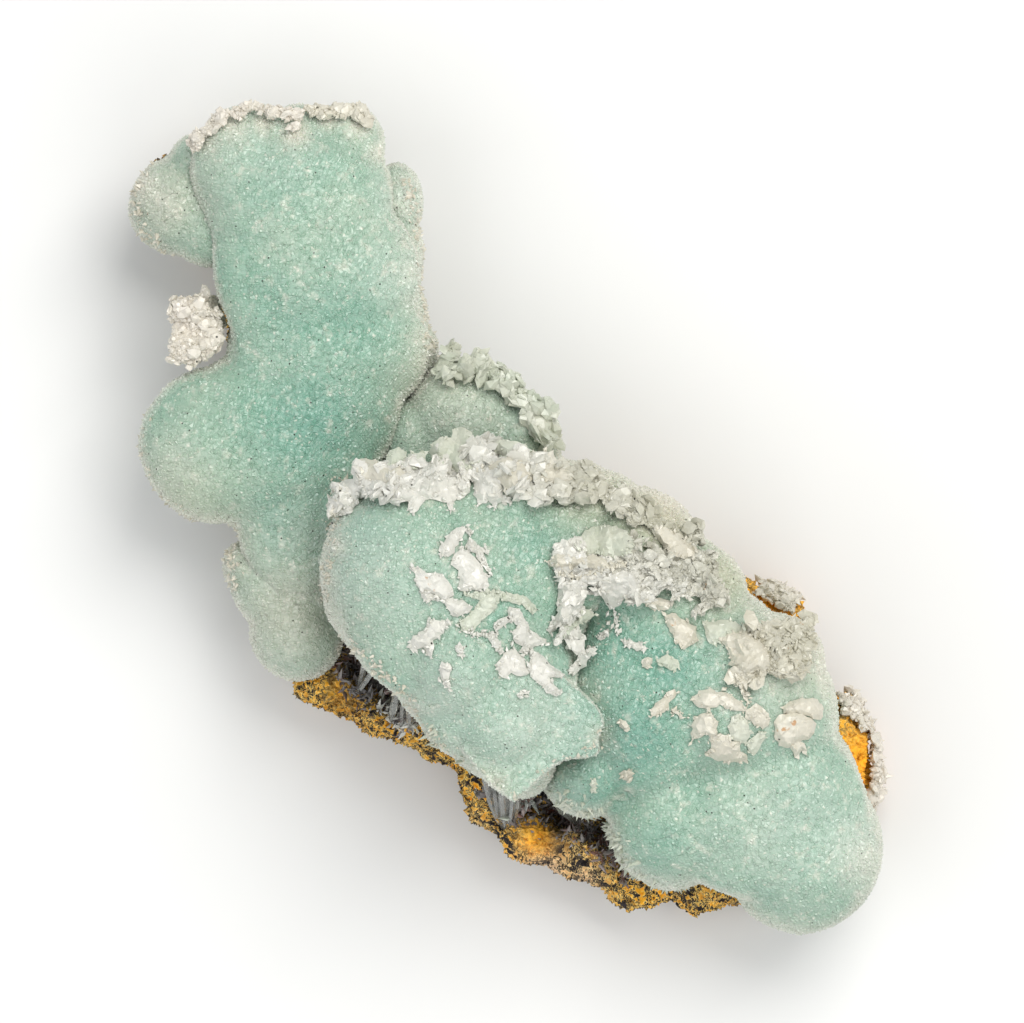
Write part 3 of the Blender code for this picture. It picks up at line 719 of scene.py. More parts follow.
SHELF_LOBES = (
    (8.4, -3.4, 12.4, 6.2, 5.6, 7.6), (12.4, -6.2, 11.4, 4.5, 4.2, 6.8),
    (15.4, -9.6, 11.6, 4.4, 4.4, 7.0), (9.6, -14.2, 11.4, 7.2, 7.0, 8.0),
    (5.6, -19.6, 10.4, 3.7, 3.2, 6.4), (15.4, -14.6, 11.4, 5.8, 5.8, 7.8),
    (19.9, -11.2, 11.0, 3.5, 3.8, 7.4), (19.9, -15.0, 10.4, 4.5, 5.4, 7.2),
    (11.8, -22.6, 9.6, 4.9, 5.6, 6.8), (15.8, -22.4, 9.8, 5.0, 5.8, 6.8),
    (20.4, -20.6, 9.4, 5.6, 5.8, 7.2), (21.6, -24.9, 9.0, 6.1, 6.6, 6.8),
    (24.7, -25.7, 8.2, 2.9, 3.8, 5.0), (18.6, -22.0, 12.0, 8.0, 7.0, 4.2),
    (16.2, -13.4, 14.2, 7.0, 6.2, 4.4), (10.6, -12.6, 14.6, 6.4, 8.6, 4.2),
    (11.2, -6.2, 14.0, 6.4, 5.0, 4.6),
)
# The broken lip of the dome: its outline in u and v, and the heights of its lower and upper side
DOME_LIP = (
    (-4.0, -17.6), (-1.6, -20.2), (0.1, -21.5), (2.4, -19.3), (4.0, -18.3), (6.2, -18.1),
    (6.6, -17.4), (6.3, -16.7), (6.9, -15.4), (6.4, -14.2), (4.6, -12.6), (2.2, -10.6),
    (-2.0, -12.0),
)
LIP_LOW, LIP_HIGH = 17.4, 20.6
print("lobes of the tower, the dome and the shelf:", *map(len, (TOWER_LOBES, DOME_LOBES, SHELF_LOBES)))

# %% [markdown]
# ## Lobes grown together
# Each lobe is a stretched sphere. The spheres and plates of one generation are put in one mesh, and the
# voxel remesh joins them into a single skin and leaves out what is inside. A union of meshes would leave
# long thin faces along the seams, and druse can't grow evenly on those.

# %% Lobes grown together
# The voxels' rows are tipped against the view, so that they don't show as lines
GRID_TILT = Euler((0.62, 0.41, 0.35)).to_matrix()


def add_lobe(bm, u, v, w, ru, rv, rw):
    stretched = Matrix.Diagonal((ru * MM, rv * MM, rw * MM, 1.0))
    placed = Matrix.Translation(Vector((u, v, w)) * MM) @ stretched
    bmesh.ops.create_icosphere(bm, subdivisions=4, radius=1.0, matrix=placed)


def add_plate(bm, outline, low, high):
    """A flat plate with that outline, between two heights."""
    rings = [[bm.verts.new(Vector((u, v, w)) * MM) for u, v in outline] for w in (low, high)]
    bm.faces.new(reversed(rings[0]))
    bm.faces.new(rings[1])
    for i, corner in enumerate(rings[0]):
        after = (i + 1) % len(outline)
        bm.faces.new((corner, rings[0][after], rings[1][after], rings[1][i]))


def lobe_skin(lobes, plates, voxel, smoothing, shrink):
    """The even skin of lobes that have grown together, in display millimetres."""
    bm = bmesh.new()
    for lobe in lobes:
        add_lobe(bm, *lobe)
    for plate in plates:
        add_plate(bm, *plate)
    bmesh.ops.transform(bm, matrix=GRID_TILT.to_4x4(), verts=bm.verts)
    co, faces = even_skin(mesh_of(bm, "lobes"), voxel, smoothing)
    return drawn_in(co @ np.array(GRID_TILT) / MM, faces, shrink)


print("voxels' rows are turned, in degrees:", [round(math.degrees(a)) for a in GRID_TILT.to_euler()])

# %% [markdown]
# ## Where the crust changes colour
# The real crust is deepest in colour where it is thick and clear, and frosty where small pale crystals sit
# on its edges. Its steep sides and convex rims also get a painted pale sheen. Other colour here is painted
# light: grey at its feet and on lobes that turn away is painted shade, some deep teal beside the dome and
# next to its lip is painted shade, and some pale and frosty spots along the tower's right edge and the lip
# are a painted highlight. Each such place is a soft round spot, given by its middle, its radius and its
# strength. Spots can be moved one by one, and they cost nothing to draw.

# %% Where the crust changes colour
# Places with deep colour and painted shade, painted grey shade, pale colour and painted highlight, frost and
# painted highlight, and sand: u, v, radius and strength
# Deep colour where the crust is thick, and painted shade beside the dome's left flank and next to its lip
TEAL_HEARTS_AND_SHADE = (
    (-14.5, 6.2, 5.2, 0.85), (-12.0, 14.0, 5.0, 0.5), (-13.0, 0.0, 4.0, 0.85),
    (2.4, -1.4, 3.4, 0.75), (7.4, -10.0, 4.2, 0.8), (8.8, -16.4, 4.6, 1.0), (-3.0, -6.0, 5.0, 0.3),
    (13.0, -19.0, 3.6, 0.45), (11.4, -11.4, 3.8, 1.0), (12.0, -15.4, 3.6, 0.6),
    (-16.8, -0.6, 3.6, 0.7), (-16.0, 13.8, 4.4, 0.5), (11.6, -24.4, 3.0, 0.4),
    (5.8, -19.8, 3.2, 0.85),
)
# Painted shade: grey where lobes turn away, as at the crust's feet
SHADE_GREY_PLACES = (
    (-16.4, -8.0, 4.6, 0.9), (-25.6, 22.6, 3.2, 0.85), (-6.2, -19.0, 3.6, 0.4),
    (-20.6, -3.6, 2.8, 0.7), (-15.0, -1.6, 3.0, 0.4), (-3.6, 7.0, 5.0, 0.5),
)
# Paler crust, and a painted highlight along the tower's right edge
PALE_AND_HIGHLIGHT_PLACES = (
    (-24.8, 2.6, 3.6, 0.45), (-11.0, -3.8, 4.6, 0.6), (1.4, -15.6, 5.0, 0.8),
    (21.4, -23.0, 7.0, 0.6), (-3.6, 7.0, 5.0, 0.45), (18.4, -12.4, 4.4, 0.6),
    (-17.4, 26.6, 5.0, 0.4), (-18.4, -8.6, 4.0, 0.5), (-4.0, -13.6, 4.4, 0.65),
    (-8.2, 17.6, 2.6, 0.75), (-8.0, 23.4, 2.4, 0.75), (-8.0, -6.0, 5.0, 0.5),
    (25.4, -24.6, 3.6, 0.95),
)
# Small frosty crystals, and a painted highlight along the tower's right edge and the lip of the dome
FROST_AND_HIGHLIGHT_PLACES = (
    (-7.8, 24.6, 1.5, 0.5), (-8.0, 22.6, 1.3, 0.5), (-7.4, 20.2, 1.3, 0.5), (-7.2, 17.8, 1.2, 0.55),
    (-6.9, 15.4, 1.2, 0.55), (-6.6, 13.0, 1.3, 0.6), (-6.0, 11.2, 1.4, 0.7),
    (-13.0, -2.6, 0.9, 0.7), (-13.6, -5.0, 0.9, 0.6), (-27.6, 24.4, 1.5, 0.8),
    (-20.6, 28.6, 1.6, 0.7), (-9.8, -16.6, 1.4, 0.6), (-4.4, -19.2, 1.6, 0.8),
    (-1.6, -20.4, 1.4, 0.8), (6.4, -16.4, 1.0, 0.5), (26.6, -26.0, 2.2, 0.5),
    (-6.4, 15.0, 1.2, 0.6), (-5.8, 12.0, 1.4, 0.7), (-22.6, 27.6, 1.3, 0.7),
    (-20.8, 29.0, 1.2, 0.8), (-18.4, 28.8, 1.1, 0.8), (-16.0, 28.0, 1.2, 0.9),
    (-13.6, 29.2, 1.1, 0.8), (-11.2, 28.6, 1.2, 0.8), (-9.8, 26.6, 1.1, 0.8),
)
SAND_PLACES = (
    (11.4, 0.8, 5.0, 1.0), (15.6, -4.6, 3.6, 0.7), (6.0, 2.4, 4.0, 0.8), (21.6, -9.6, 4.0, 0.6),
    (-4.6, 9.4, 4.0, 0.3), (-24.6, 0.6, 4.6, 0.45), (-17.6, -7.6, 3.6, 0.3),
)


# Numbers of the painted pale sheen: on convex rims, on sides that turn away from straight above, and less of
# it underneath
RIM_START, RIM_SPAN, RIM_SHARE, RIM_ROUNDS = 0.10, 0.5, 0.35, 40
STEEP_START, STEEP_SPAN, STEEP_SHARE = 0.58, 0.42, 0.7
UNDER_START, UNDER_SPAN, UNDER_SHARE = 0.15, 0.3, 0.6
MOST_FROST_AND_SHEEN = 0.9


def crust_values(points, faces, normals):
    """How frosty, pale, sandy, deep in colour and grey the crust is at each point. The rim value is mostly a
    painted pale sheen, and the other values hold painted shade and a painted highlight in places.
    """
    # The edge and steep terms paint a pale sheen where the crust is convex and where it turns away from
    # straight above
    edge = np.clip((bulge(points, faces, normals, RIM_ROUNDS) - RIM_START) / RIM_SPAN, 0.0, 1.0)
    steep = np.clip((STEEP_START - normals[:, 2]) / STEEP_SPAN, 0.0, 1.0)
    under = np.clip((UNDER_START - normals[:, 2]) / UNDER_SPAN, 0.0, 1.0)
    painted_sheen = edge * RIM_SHARE + steep * (1.0 - UNDER_SHARE * under) * STEEP_SHARE
    values = {"rim": np.clip(np.maximum(painted_sheen, near_places(points, FROST_AND_HIGHLIGHT_PLACES)), 0.0, MOST_FROST_AND_SHEEN)}
    for key, places in (
        ("pale", PALE_AND_HIGHLIGHT_PLACES), ("sand", SAND_PLACES), ("heart_and_shade", TEAL_HEARTS_AND_SHADE), ("grey", SHADE_GREY_PLACES),
    ):
        values[key] = near_places(points, places)
    return values


print("places in all:", len(TEAL_HEARTS_AND_SHADE + SHADE_GREY_PLACES + PALE_AND_HIGHLIGHT_PLACES + FROST_AND_HIGHLIGHT_PLACES + SAND_PLACES))

# %% [markdown]
# ## Druse on the crust
# Each small square of a skin is raised to a little four-sided crystal, which is the quickest way to cover
# a whole surface with druse and leave no gap. The points are nudged first, so that the squares' rows can't
# be seen, and the crystals on rims stand taller, which serrates the outline.

# %% Druse on the crust
CRUST_VOXEL = 0.275
CRUST_SHRINK = 0.25
TIP_LEAN = 0.22
# Size in millimetres, shift and height of the lumps that make a lobe uneven
SWELLS = ((3.2, 3.7, 0.20), (1.1, 11.3, 0.08))
CRUST_NUDGE = 0.12
DRUSE_LOW, DRUSE_RISE, DRUSE_POWER, RIM_HEIGHT = 0.02, 0.12, 1.5, 0.2
# A few crystal tips are painted almost white as glints, and the rest are a little paler than the body
GLINT_SHARE, GLINT, MOST_TIP = 0.035, 0.9, 0.24


def raised_squares(points, faces, heights, draw, stray):
    """Each square face raised to a four-sided crystal: points, triangles and how far up each is."""
    middle = points[faces].mean(axis=1)
    flat = face_normals(points, faces)
    size = np.linalg.norm(points[faces[:, 0]] - points[faces[:, 2]], axis=1)
    sideways = draw.uniform(-stray, stray, flat.shape) * size[:, None]
    sideways -= flat * (sideways * flat).sum(axis=1, keepdims=True)
    tips = middle + leaning(flat, TIP_LEAN, draw) * heights[:, None] + sideways
    number = np.arange(len(points), len(points) + len(faces))
    triangles = np.concatenate([
        np.stack([faces[:, i], faces[:, (i + 1) % 4], number], axis=1) for i in range(4)
    ])
    up = np.concatenate([np.zeros(len(points)), np.ones(len(faces))])
    return np.concatenate([points, tips]), triangles, up


def along_surface(normals, reach, draw):
    """Random steps up to that reach which stay on the surface."""
    steps = draw.uniform(-reach, reach, normals.shape)
    return steps - normals * (steps * normals).sum(axis=1, keepdims=True)


def make_crust_piece(name, seed, lobes, plates, smoothing):
    draw = np.random.default_rng(seed)
    points, faces, normals = lobe_skin(lobes, plates, CRUST_VOXEL, smoothing, CRUST_SHRINK)
    swell = sum(lumps(points, size, shift) * height for size, shift, height in SWELLS)
    points = points + normals * swell[:, None] + along_surface(normals, CRUST_NUDGE, draw)
    values = crust_values(points, faces, normals)
    tall = DRUSE_LOW + DRUSE_RISE * draw.random(len(faces)) ** DRUSE_POWER
    tall += RIM_HEIGHT * values["rim"][faces].mean(axis=1) * draw.random(len(faces))
    druse, triangles, up = raised_squares(points, faces, tall, draw, 0.25)
    spread = {
        key: np.concatenate([value, value[faces].mean(axis=1)]) for key, value in values.items()
    }
    # Painted glints: a few tips are coloured almost white, as sparkles
    is_glint = draw.random(len(faces)) < GLINT_SHARE
    glint = np.where(is_glint, GLINT, draw.uniform(0.0, MOST_TIP, len(faces)))
    spread["tip_and_glint"] = up * np.concatenate([np.zeros(len(points)), glint])
    make_piece(name, druse, triangles, AQUA_FINISH, spread, ["aqua_calcite_crust"])
    return points, faces


# Name, seed, lobes, plates and rounds of smoothing
CRUST_PIECES = (
    ("tower_druse", 7, TOWER_LOBES, (), 9),
    ("grey_lobe_druse", 13, GREY_LOBES, (), 5),
    ("foot_druse", 14, FOOT_LOBES, (), 7),
    ("ledge_druse", 8, LEDGE_LOBES, (), 4),
    ("back_lobe_druse", 9, BACK_LOBES, (), 6),
    ("dome_druse", 10, DOME_LOBES, ((DOME_LIP, LIP_LOW, LIP_HIGH),), 5),
    ("shelf_druse", 11, SHELF_LOBES, (), 8),
)
SKINS = [make_crust_piece(*piece) for piece in CRUST_PIECES]

# %% [markdown]
# ## The limonite finish
# Limonite is an earthy, rusty rock: ochre grains in a dark network, brighter where it is fresh, and almost
# black in the hollows. The network follows the contour lines of a noise, which are thin, closed and
# branching as the real seams are. A pattern of cells would give straight, even seams instead.

# %% The limonite finish
OCHRE = (0.640, 0.330, 0.040)
ORANGE = (0.950, 0.450, 0.020)
UMBER = (0.200, 0.110, 0.050)
COAL = (0.014, 0.010, 0.011)
STRAW = (0.950, 0.720, 0.240)
BEIGE = (0.740, 0.590, 0.450)


def limonite_finish():
    material, tree, shader, place = new_material("limonite_rock")
    grain = use_group(tree, GRAIN, place, scale=3200.0, contrast=0.6)
    fresh = point_value(tree, "glow")
    rusty = add_range(tree, fresh, 0.2, 0.8, 1.0, 0.12)
    patches = add_range(tree, add_noise(tree, place, 420.0), 0.40, 0.62)
    body = add_mix(tree, patches, OCHRE, ORANGE)
    folds = add_noise(tree, place, 1800.0)
    from_fold = add_math(tree, "ABSOLUTE", add_math(tree, "SUBTRACT", folds, 0.5))
    straw = add_range(tree, from_fold, 0.045, 0.100, 0.8, 0.0)
    body = add_mix(tree, straw, body, STRAW)
    body = add_mix(tree, point_value(tree, "beige"), body, BEIGE)
    body = add_mix(tree, fresh, body, ORANGE)
    lines = add_range(tree, from_fold, 0.024, 0.042, 1.0, 0.0)
    crumbs = add_range(tree, add_noise(tree, place, 900.0, 5.0, 0.8), 0.52, 0.57)
    dark = add_math(tree, "MAXIMUM", lines, crumbs)
    body = add_mix(tree, add_math(tree, "MULTIPLY", dark, rusty), body, COAL)
    stains = use_group(tree, STAINS, place, scale=380.0, threshold=0.60, softness=0.07)
    body = add_mix(tree, add_math(tree, "MULTIPLY", stains.outputs["Mask"], 0.5), body, UMBER)
    body = add_mix(tree, point_value(tree, "dark"), body, COAL)
    body = brightened(tree, body, grain.outputs["Brightness"])
    tree.links.new(body, shader.inputs["Base Color"])
    shader.inputs["Roughness"].default_value = 0.82
    add_bump(tree, shader, grain.outputs["Height"], 0.10, 0.8)
    return material


LIMONITE_FINISH = limonite_finish()
print(LIMONITE_FINISH.name, "has", len(LIMONITE_FINISH.node_tree.nodes), "nodes")

# %% [markdown]
# ## The limonite
# The rock could be smooth with a bump, but its outline is crumbly, so the skin is really rough: two sizes
# of lumps, and small crumbs raised on every square. Its flat base stays flat, because the specimen rests
# on it. The skin is kept as a tree for rays, which later pieces stand on.

# %% The limonite
LIMONITE_VOXEL = 0.38
BASE_START, BASE_TOP = 0.3, 0.6
ROCK_LUMPS = ((1.6, 2.1, 0.40), (0.7, 8.8, 0.30))
ROCK_NUDGE = 0.1
CRUMB_LOW, CRUMB_HIGH = -0.08, 0.34
GLOW_PLACES = (
    (1.9, -24.2, 1.6, 1.0), (19.6, -6.6, 2.4, 1.0), (26.4, -18.4, 3.4, 1.0),
    (-12.6, -13.2, 1.8, 0.6),
)
BEIGE_PLACES = ((2.4, -26.8, 2.2, 0.8), (-3.4, -24.6, 1.6, 0.5), (5.2, -27.4, 1.6, 0.6))
DARK_PLACES = (
    (-10.9, -11.6, 2.2, 0.95), (-8.8, -13.8, 1.8, 0.95), (0.6, -21.6, 1.6, 0.9),
    (4.4, -22.8, 2.0, 0.95), (7.8, -24.4, 1.8, 0.95), (10.0, -26.2, 1.3, 0.8),
    (-26.4, 25.6, 2.2, 0.6),
)


def make_limonite():
    draw = np.random.default_rng(19)
    points, faces, normals = fine_skin("limonite_matrix", LIMONITE_VOXEL, 2, 0.15)
    above_base = np.clip((points[:, 2] - BASE_START) / BASE_TOP, 0.0, 1.0)
    rough = sum(lumps(points, size, shift) * height for size, shift, height in ROCK_LUMPS)
    moved = normals * rough[:, None] + draw.uniform(-ROCK_NUDGE, ROCK_NUDGE, points.shape)
    points = points + moved * above_base[:, None]
    tall = draw.uniform(CRUMB_LOW, CRUMB_HIGH, len(faces)) * above_base[faces].mean(axis=1)
    skin, triangles, _ = raised_squares(points, faces, tall, draw, 0.1)
    values = {key: near_places(skin, places) for key, places in (
        ("glow", GLOW_PLACES), ("beige", BEIGE_PLACES), ("dark", DARK_PLACES),
    )}
    replaces = ["limonite_matrix"]
    make_piece("limonite_rock", skin, triangles, LIMONITE_FINISH, values, replaces)
    return BVHTree.FromPolygons(points.tolist(), faces.tolist())


ROCK_TREE = make_limonite()

# %% [markdown]
# ## White and clear calcite
# The second growth is white, slightly see-through calcite with rusty stains in its gaps. The four white
# finishes share one recipe: a milky body that scatters a little light inside, with stains and specks. More
# scattering would look softer, but it darkens crystals that are half buried. The clear finish for the
# needles is plain transmission, and the dark one is for the iron-coated crystals that line the hollows.

# %% White and clear calcite
WHITE = (0.600, 0.590, 0.530)
CREAM = (0.500, 0.465, 0.365)
PALE = (0.430, 0.480, 0.380)
RUST = (0.420, 0.180, 0.030)
DULL_GREEN = (0.430, 0.420, 0.325)
MILK_SHARE, STAIN_SHARE = 0.6, 0.75
CLEAR = (0.80, 0.84, 0.82)


def white_finish(name, colour, second, bright, stain_start, pattern_shift):
    material, tree, shader, place = new_material(name)
    tone = add_range(tree, add_noise(tree, place, 260.0 + pattern_shift), 0.40, 0.66)
    body = add_mix(tree, tone, colour, second)
    milk = add_math(tree, "MULTIPLY", point_value(tree, "milk"), MILK_SHARE)
    body = add_mix(tree, milk, body, bright)
    body = add_mix(tree, point_value(tree, "sand"), body, DULL_GREEN)
    grain = use_group(tree, GRAIN, place, scale=3000.0, contrast=0.14)
    body = brightened(tree, body, grain.outputs["Brightness"])
    stains = use_group(tree, STAINS, place, scale=650.0, threshold=stain_start, softness=0.05)
    body = add_mix(tree, add_math(tree, "MULTIPLY", stains.outputs["Mask"], STAIN_SHARE), body, RUST)
    specks = use_group(tree, SPECKS, place, scale=950.0, size=0.10, share=0.5)
    body = add_mix(tree, specks.outputs["Mask"], body, DARK_SPECK)
    tree.links.new(body, shader.inputs["Base Color"])
    shader.inputs["Roughness"].default_value = 0.28
    shader.inputs["IOR"].default_value = 1.55
    shader.inputs["Subsurface Weight"].default_value = 0.15
    shader.inputs["Subsurface Radius"].default_value = (1.0, 0.95, 0.85)
    shader.inputs["Subsurface Scale"].default_value = 0.0002
    add_bump(tree, shader, grain.outputs["Height"], 0.06, 0.4)
    return material


def clear_finish():
    material, tree, shader, place = new_material("clear_calcite")
    grain = use_group(tree, GRAIN, place, scale=2500.0, contrast=0.1)
    body = add_mix(tree, point_value(tree, "milk"), CLEAR, WHITE)
    body = brightened(tree, body, grain.outputs["Brightness"])
    tree.links.new(body, shader.inputs["Base Color"])
    shader.inputs["Roughness"].default_value = 0.12
    shader.inputs["IOR"].default_value = 1.6
    shader.inputs["Transmission Weight"].default_value = 0.8
    add_bump(tree, shader, grain.outputs["Height"], 0.03, 0.2)
    return material


def dark_finish():
    material, tree, shader, place = new_material("iron_coated_calcite")
    patches = add_range(tree, add_noise(tree, place, 330.0), 0.42, 0.60)
    body = add_mix(tree, patches, (0.034, 0.026, 0.028), (0.17, 0.050, 0.022))
    body = add_mix(tree, point_value(tree, "milk"), body, (0.30, 0.28, 0.27))
    grain = use_group(tree, GRAIN, place, scale=2500.0, contrast=0.5)
    tree.links.new(brightened(tree, body, grain.outputs["Brightness"]), shader.inputs["Base Color"])
    shader.inputs["Roughness"].default_value = 0.22
    add_bump(tree, shader, grain.outputs["Height"], 0.05, 0.4)
    return material


# Name, two body colours, the colour of milky crystals, where stains start, and a shift of the pattern
WHITES = (
    ("white_calcite", WHITE, (0.50, 0.50, 0.44), (0.72, 0.71, 0.66), 0.71, 0.0),
    ("cream_calcite", (0.60, 0.57, 0.47), CREAM, (0.64, 0.62, 0.54), 0.665, 17.0),
    ("pale_calcite", PALE, (0.53, 0.54, 0.44), (0.62, 0.63, 0.54), 0.72, 31.0),
    ("blush_calcite", (0.64, 0.59, 0.51), (0.57, 0.54, 0.45), (0.72, 0.68, 0.61), 0.70, 71.0),
)
WHITE_FINISH, CREAM_FINISH, PALE_FINISH, BLUSH_FINISH = (white_finish(*row) for row in WHITES)
CLEAR_FINISH, DARK_FINISH = clear_finish(), dark_finish()
print("calcite finishes:", [row[0] for row in WHITES], CLEAR_FINISH.name, DARK_FINISH.name)

# %% [markdown]
# ## What a cluster is made of
# The ridge, the shelf and the knobs are jumbles of small crystals. Each cluster starts from its solid's
# own skin, made crusty. Pointed crystals lean out of it with most of their length sunk in, as crystals
# that grew from one base do, and flat ones lie on it like shingles. Two kinds mixed look far less regular
# than one kind in many sizes.

# %% What a cluster is made of
CLUSTER_VOXEL = 0.26
CLUSTER_SHRINK = 0.22
CLUSTER_NUDGE = 0.06
# The knob reaches out to the left: the u that stays, how much wider it is, and about where it ends
KNOB_RIGHT, KNOB_WIDER, KNOB_LEFT, KNOB_WAVE = -21.4, 1.9, -25.2, 0.6
SUNK, SUNK_STRAY = 0.32, 0.2
# Where the flakes are small, and by how much: the shelf and the mound on its right
FINE_PLACES = ((8.4, -3.4, 4.2, 1.0), (12.4, -5.0, 3.4, 1.0), (19.4, -10.6, 4.0, 0.8))
FINER = 0.62


def milkiness(milk, corners):
    """How milky each crystal is, repeated for its corners."""
    return {"milk": np.repeat(milk, corners)}


def joined(parts):
    """Several (points, faces, values) joined into one. Every part has the same values."""
    points, faces, shift = [], [], 0
    for part_points, part_faces, _ in parts:
        points.append(part_points)
        faces.append(part_faces + shift)
        shift += len(part_points)
    values = {key: np.concatenate([part[2][key] for part in parts]) for key in parts[0][2]}
    return np.concatenate(points), np.concatenate(faces), values


def crystal_sizes(draw, count, width, thickness, length):
    """Random sizes. Each of the three is given as its least and its most, and small ones are more common."""
    share = draw.random(count) ** 1.6
    return np.stack([low + (high - low) * share for low, high in (width, thickness, length)], axis=1)


def cluster_skin(node, seed):
    """A cluster's base: its solid's skin, crusty, with its squares raised to small crystals."""
    draw = np.random.default_rng(seed)
    points, faces, normals = fine_skin(node, CLUSTER_VOXEL, 1, CLUSTER_SHRINK)
    if node == "white_crystal_knob":
        wide = KNOB_RIGHT + (points[:, 0] - KNOB_RIGHT) * KNOB_WIDER
        points[:, 0] = np.maximum(wide, KNOB_LEFT + KNOB_WAVE * lumps(points, 1.3, 5.0))
    points = points + draw.uniform(-CLUSTER_NUDGE, CLUSTER_NUDGE, points.shape)
    tall = draw.uniform(0.02, 0.22, len(faces))
    crust, triangles, up = raised_squares(points, faces, tall, draw, 0.15)
    return (points, faces, normals), (crust, triangles, milkiness(up * 0.5 + 0.2, 1))


def standing_crystals(skin, seed, count, sizes, lean, keep):
    """Pointed crystals that lean out of a skin, with most of their length sunk in."""
    draw = np.random.default_rng(seed)
    places, facing = scattered(skin[0], skin[1], count, draw, keep)
    axes = leaning(facing, lean, draw)
    size = crystal_sizes(draw, count, *sizes)
    places = places - axes * size[:, 2:] * (SUNK - SUNK_STRAY * draw.random((count, 1)))
    grown, faces = grow(POINT_FORM, places, axes, any_way(draw, axes.shape), size, draw, 0.16)
    return grown, faces, milkiness(draw.uniform(0.2, 1.0, count), len(POINT_FORM[0]))


def lying_flakes(skin, seed, count, sizes, lean, keep):
    """Flat crystals that lie on a skin like shingles, each tipped at random."""
    draw = np.random.default_rng(seed)
    places, normals = scattered(skin[0], skin[1], count, draw, keep)
    facing = leaning(normals, lean, draw)
    axes = unit(np.cross(facing, draw.normal(0, 1, facing.shape)))
    finer = 1.0 - FINER * near_places(places, FINE_PLACES)
    size = crystal_sizes(draw, count, *sizes) * finer[:, None]
    grown, faces = grow(FLAKE_FORM, places + normals * 0.1, axes, facing, size, draw, 0.24)
    return grown, faces, milkiness(draw.uniform(0.3, 1.0, count), len(FLAKE_FORM[0]))


print("a standing crystal is sunk in by up to this share of its length:", SUNK)

# %% [markdown]
# ## Crystal clusters
# The ridge is the largest cluster, a band of coarse white flakes. The knobs are sugary, with small blocky
# crystals, and the shelf's flakes are fine. So each cluster names its own numbers, sizes and finish. The
# crystals keep to the upper side and thin out where the stone is sandy.

# %% Crystal clusters
# Least and most width, thickness and length in millimetres
FINE_SIZES = ((0.2, 0.55), (0.18, 0.45), (0.5, 1.3))
SUGAR_SIZES = ((0.25, 0.6), (0.25, 0.55), (0.35, 0.8))
BLOCKY_SIZES = ((0.6, 1.4), (0.5, 1.1), (0.9, 1.9))
FLAKE_SIZES = ((0.5, 1.6), (0.25, 0.45), (0.7, 2.2))
SMALL_FLAKES = ((0.4, 1.0), (0.25, 0.4), (0.5, 1.3))
CLUSTERS = (
    # node, seed, standing crystals and their sizes, flakes and their sizes, finish, slot
    ("white_crystal_ridge", 41, (900, FINE_SIZES), (1150, FLAKE_SIZES), WHITE_FINISH, "white_calcite"),
    ("white_crystal_shoulder", 43, (260, FINE_SIZES), (320, FLAKE_SIZES), CREAM_FINISH, "white_calcite"),
    ("pale_crystals_back", 47, (110, BLOCKY_SIZES), (110, FLAKE_SIZES), PALE_FINISH, "pale_calcite"),
    ("white_crystal_knob", 53, (620, SUGAR_SIZES), (60, SMALL_FLAKES), BLUSH_FINISH, "white_calcite"),
    ("tower_top_crystals", 59, (420, SUGAR_SIZES), (60, SMALL_FLAKES), BLUSH_FINISH, "pale_calcite"),
    ("tower_knob_crystals", 61, (300, SUGAR_SIZES), (40, SMALL_FLAKES), CREAM_FINISH, "pale_calcite"),
    ("edge_calcite_upper", 67, (120, FINE_SIZES), (120, SMALL_FLAKES), BLUSH_FINISH, "pale_calcite"),
    ("edge_calcite_lower", 71, (120, FINE_SIZES), (120, SMALL_FLAKES), BLUSH_FINISH, "pale_calcite"),
)
STAND_LEAN, FLAKE_LEAN = 0.5, 0.20
UPPER_SIDE, SANDY_SHARE = 0.6, 0.8


def make_cluster(node, seed, standing, flat, finish, slot):
    skin, base = cluster_skin(node, seed)
    keep = np.clip(skin[2][:, 2] + UPPER_SIDE, 0.0, 1.0)
    keep = keep * (1.0 - SANDY_SHARE * near_places(skin[0], SAND_PLACES))
    points, faces, values = joined([
        base,
        standing_crystals(skin, seed + 1, *standing, STAND_LEAN, keep),
        lying_flakes(skin, seed + 2, *flat, FLAKE_LEAN, keep),
    ])
    values["sand"] = near_places(points, SAND_PLACES)
    make_piece(f"{node}_druse", points, faces, finish, values, [node])
    return skin[:2]


SKINS += [make_cluster(*cluster) for cluster in CLUSTERS]

# %% [markdown]
# ## Outlines of the flakes
# The flakes on the crust are thin crusts of crystals with torn outlines, and their places and shapes are
# what one remembers of the specimen. So they aren't scattered, but drawn from above, one outline after the
# other, as a jeweller would trace them.

